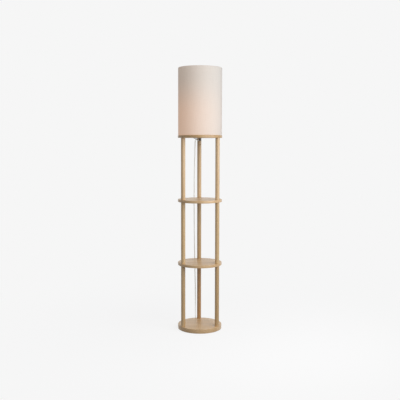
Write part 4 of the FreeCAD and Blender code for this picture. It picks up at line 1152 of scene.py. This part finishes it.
class LAMP_OT_outlet(bpy.types.Operator):
    """Mould the cord's outlet under the top disc and the clip that leads the cord to the rim"""
    bl_idname = "lamp.outlet"
    bl_label = "Cord Outlet"

    def execute(self, context):
        top, low, floor = 1130.7, 1118.2, 1127.4
        outline = [(0, low), (7.5, low), (7.5, top), (NIPPLE_BORE, top), (NIPPLE_BORE, floor), (0, floor)]
        housing = soften(turned("housing", outline, steps=48), 0.6)
        sections = [(2.0, 10.0, 10.0), (7.6, 10.0, 10.0)]
        for k in range(3):
            # ribs of the relief, 3 mm apart
            start, wide = 8.4 + 3.0 * k, 9.6 - 0.55 * k
            thin, last = wide - 1.1, wide - 0.2
            sections += [(start, wide, wide), (start + 0.3, thin, thin), (start + 1.3, thin, thin)]
            sections.append((start + 1.6, last, last))
        sections += [(17.4, 7.8, 7.8), (18.0, 7.2, 7.2)]
        nozzle = drawn_out("nozzle", sections)
        settle(nozzle, (0, 0, 1123.5), 90 + CORD_HEADING)
        fit(gathered("outlet_moulding", [housing, nozzle]), "dark_plastic", "cord_outlet")
        inner, outer, drop = 3.15, 4.45, 5.3
        outline = [(-16.45, 0), (-inner, 0)] + arc((0, -drop), inner, 180, 360, 10)
        outline += [(inner, 0), (outer, 0)] + arc((0, -drop), outer, 360, 180, 12) + [(-outer, -1.3), (-16.45, -1.3)]
        clip = bent_strip("saddle_clip", outline, 8.0)
        hole = cutter(1.55, -3, 2, -10.45, 0)
        combine(clip, [hole], "DIFFERENCE")
        soften(clip, 0.25)
        turn, reach = math.radians(CORD_HEADING), 108
        settle(clip, (-reach * math.sin(turn), reach * math.cos(turn), TOP_DISC), CORD_HEADING)
        fit(clip, "clear_plastic", "cord_clip")
        return {"FINISHED"}


class LAMP_OT_finishes(bpy.types.Operator):
    """Finish the solids that stay as they are"""
    bl_idname = "lamp.finishes"
    bl_label = "Kept Solids"

    def execute(self, context):
        for slot, names in KEPT_SOLIDS.items():
            for name in names:
                paint(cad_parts[name], slot)
        return {"FINISHED"}


class LAMP_OT_stage(bpy.types.Operator):
    """Set the pale studio: floor, soft lamp from the right, light all round"""
    bl_idname = "lamp.stage"
    bl_label = "Studio"

    def execute(self, context):
        stage = bpy.context.scene.lamp_stage
        back = linear(stage.background)
        self.floor(back)
        self.room(back, stage.fill)
        self.soft_lamp("key_light", place=(1.15, -1.15, 1.3), aim=(0, 0, 0.85), size=1.7, power=stage.key_power)
        self.bulb_light("lit_bulb", place=(0, 0, 1.33), radius=0.03, power=0.6)
        return {"FINISHED"}

    def empty_tree(self, owner):
        """The node tree of a material or world, with nothing in it."""
        owner.use_nodes = True
        owner.node_tree.nodes.clear()
        return owner.node_tree

    def floor(self, back):
        """A round floor: matt where the lamp's shadow falls, and the background's own colour further out."""
        clear_selection()
        bpy.ops.mesh.primitive_circle_add(vertices=96, radius=14.0, fill_type="NGON", location=(0, 0, 0))
        floor = bpy.context.object
        floor.name = "studio_floor"
        material = bpy.data.materials.new("matt_studio_floor")
        tree = self.empty_tree(material)
        place = add_node(tree, "TexCoord").outputs["Object"]
        away = add_node(tree, "VectorMath", {0: place}, operation="LENGTH").outputs["Value"]
        plain = add_node(tree, "MapRange", {0: away, 1: 0.25, 2: 1.6, 3: 0.8, 4: 1.0}, interpolation_type="SMOOTHSTEP")
        lift = add_node(tree, "MapRange", {0: away, 1: 0.25, 2: 1.6, 3: 1.1, 4: 1.0}, interpolation_type="SMOOTHSTEP")
        matt = add_node(tree, "BsdfDiffuse", {"Color": linear("#e4e4e4")})
        # what the lamp itself gets back from the floor is duller than what is seen
        dull = add_node(tree, "BsdfDiffuse", {"Color": linear("#6e6c6a")})
        shown = add_node(tree, "Emission", {"Color": back, "Strength": lift})
        near = add_node(tree, "MixShader", {0: plain, 1: matt, 2: shown})
        mixed = add_node(tree, "MixShader", {0: self.seen(tree), 1: dull, 2: near})
        add_node(tree, "OutputMaterial", {"Surface": mixed})
        floor.data.materials.append(material)

    def room(self, back, fill):
        """Light from all round; rays that see the room itself get the background's colour."""
        world = bpy.data.worlds.new("studio")
        bpy.context.scene.world = world
        tree = self.empty_tree(world)
        light = add_node(tree, "Background", {"Color": linear("#fbfbff"), "Strength": fill})
        wall = add_node(tree, "Background", {"Color": back, "Strength": 1.0})
        mixed = add_node(tree, "MixShader", {0: self.seen(tree), 1: light, 2: wall})
        add_node(tree, "OutputWorld", {"Surface": mixed})

    def bulb_light(self, name, place, radius, power):
        """The warm light of the lamp's own bulb."""
        clear_selection()
        bpy.ops.object.light_add(type="POINT", location=place)
        glow = bpy.context.object
        glow.name = name
        glow.data.energy = power
        glow.data.color = linear("#ffd2a0")[:3]
        glow.data.shadow_soft_size = radius
        glow.visible_camera = False

    def seen(self, tree):
        """1 for rays that see the studio: the camera's and those in gloss and glass."""
        path = add_node(tree, "LightPath")
        both = add_node(
            tree, "Math", {0: path.outputs["Is Camera Ray"], 1: path.outputs["Is Glossy Ray"]}, operation="ADD")
        return add_node(
            tree, "Math", {0: both, 1: path.outputs["Is Transmission Ray"]}, operation="ADD", use_clamp=True)

    def soft_lamp(self, name, place, aim, size, power):
        """A square lamp that faces a point and isn't seen itself."""
        clear_selection()
        facing = (Vector(aim) - Vector(place)).to_track_quat("-Z", "Y").to_euler()
        bpy.ops.object.light_add(type="AREA", location=place, rotation=facing)
        lamp = bpy.context.object
        lamp.name = name
        lamp.data.size = size
        lamp.data.energy = power
        lamp.visible_camera = False


class LAMP_PT_sidebar(bpy.types.Panel):
    """The lamp's pieces, in the order that they are made"""
    bl_idname = "LAMP_PT_sidebar"
    bl_label = "Floor Lamp"
    bl_space_type = "VIEW_3D"
    bl_region_type = "UI"
    bl_category = "Floor Lamp"

    def draw(self, context):
        for group, values in SETTINGS.items():
            box = self.layout.box()
            for name in values.__annotations__:
                box.prop(getattr(context.scene, group), name)
        for step in STEPS:
            self.layout.operator(step.bl_idname)


SETTINGS = {
    "lamp_wood": LampWoodSettings,
    "lamp_shade": LampShadeSettings,
    "lamp_cord": LampCordSettings,
    "lamp_stage": LampStageSettings,
}
STEPS = (
    LAMP_OT_camera,
    LAMP_OT_plug,
    LAMP_OT_cord,
    LAMP_OT_discs,
    LAMP_OT_posts,
    LAMP_OT_feet,
    LAMP_OT_shade,
    LAMP_OT_holder,
    LAMP_OT_bulb,
    LAMP_OT_chain,
    LAMP_OT_outlet,
    LAMP_OT_finishes,
    LAMP_OT_stage,
)


def register():
    """Register the settings, the operators and the panel."""
    for group, values in SETTINGS.items():
        bpy.utils.register_class(values)
        setattr(bpy.types.Scene, group, bpy.props.PointerProperty(type=values))
    for step in STEPS:
        bpy.utils.register_class(step)
    bpy.utils.register_class(LAMP_PT_sidebar)


def unregister():
    """Take back what register did, in the opposite order."""
    bpy.utils.unregister_class(LAMP_PT_sidebar)
    for step in reversed(STEPS):
        bpy.utils.unregister_class(step)
    for group, values in reversed(SETTINGS.items()):
        delattr(bpy.types.Scene, group)
        bpy.utils.unregister_class(values)


def main():
    """Make the finishes, then all the pieces and the stage."""
    register()
    bpy.context.scene.view_settings.view_transform = "Standard"
    FINISHES.update(make_finishes())
    for step in STEPS:
        family, name = step.bl_idname.split(".")
        if getattr(getattr(bpy.ops, family), name)() != {"FINISHED"}:
            raise RuntimeError(step.bl_label + " didn't finish")


if __name__ == "__main__":
    main()
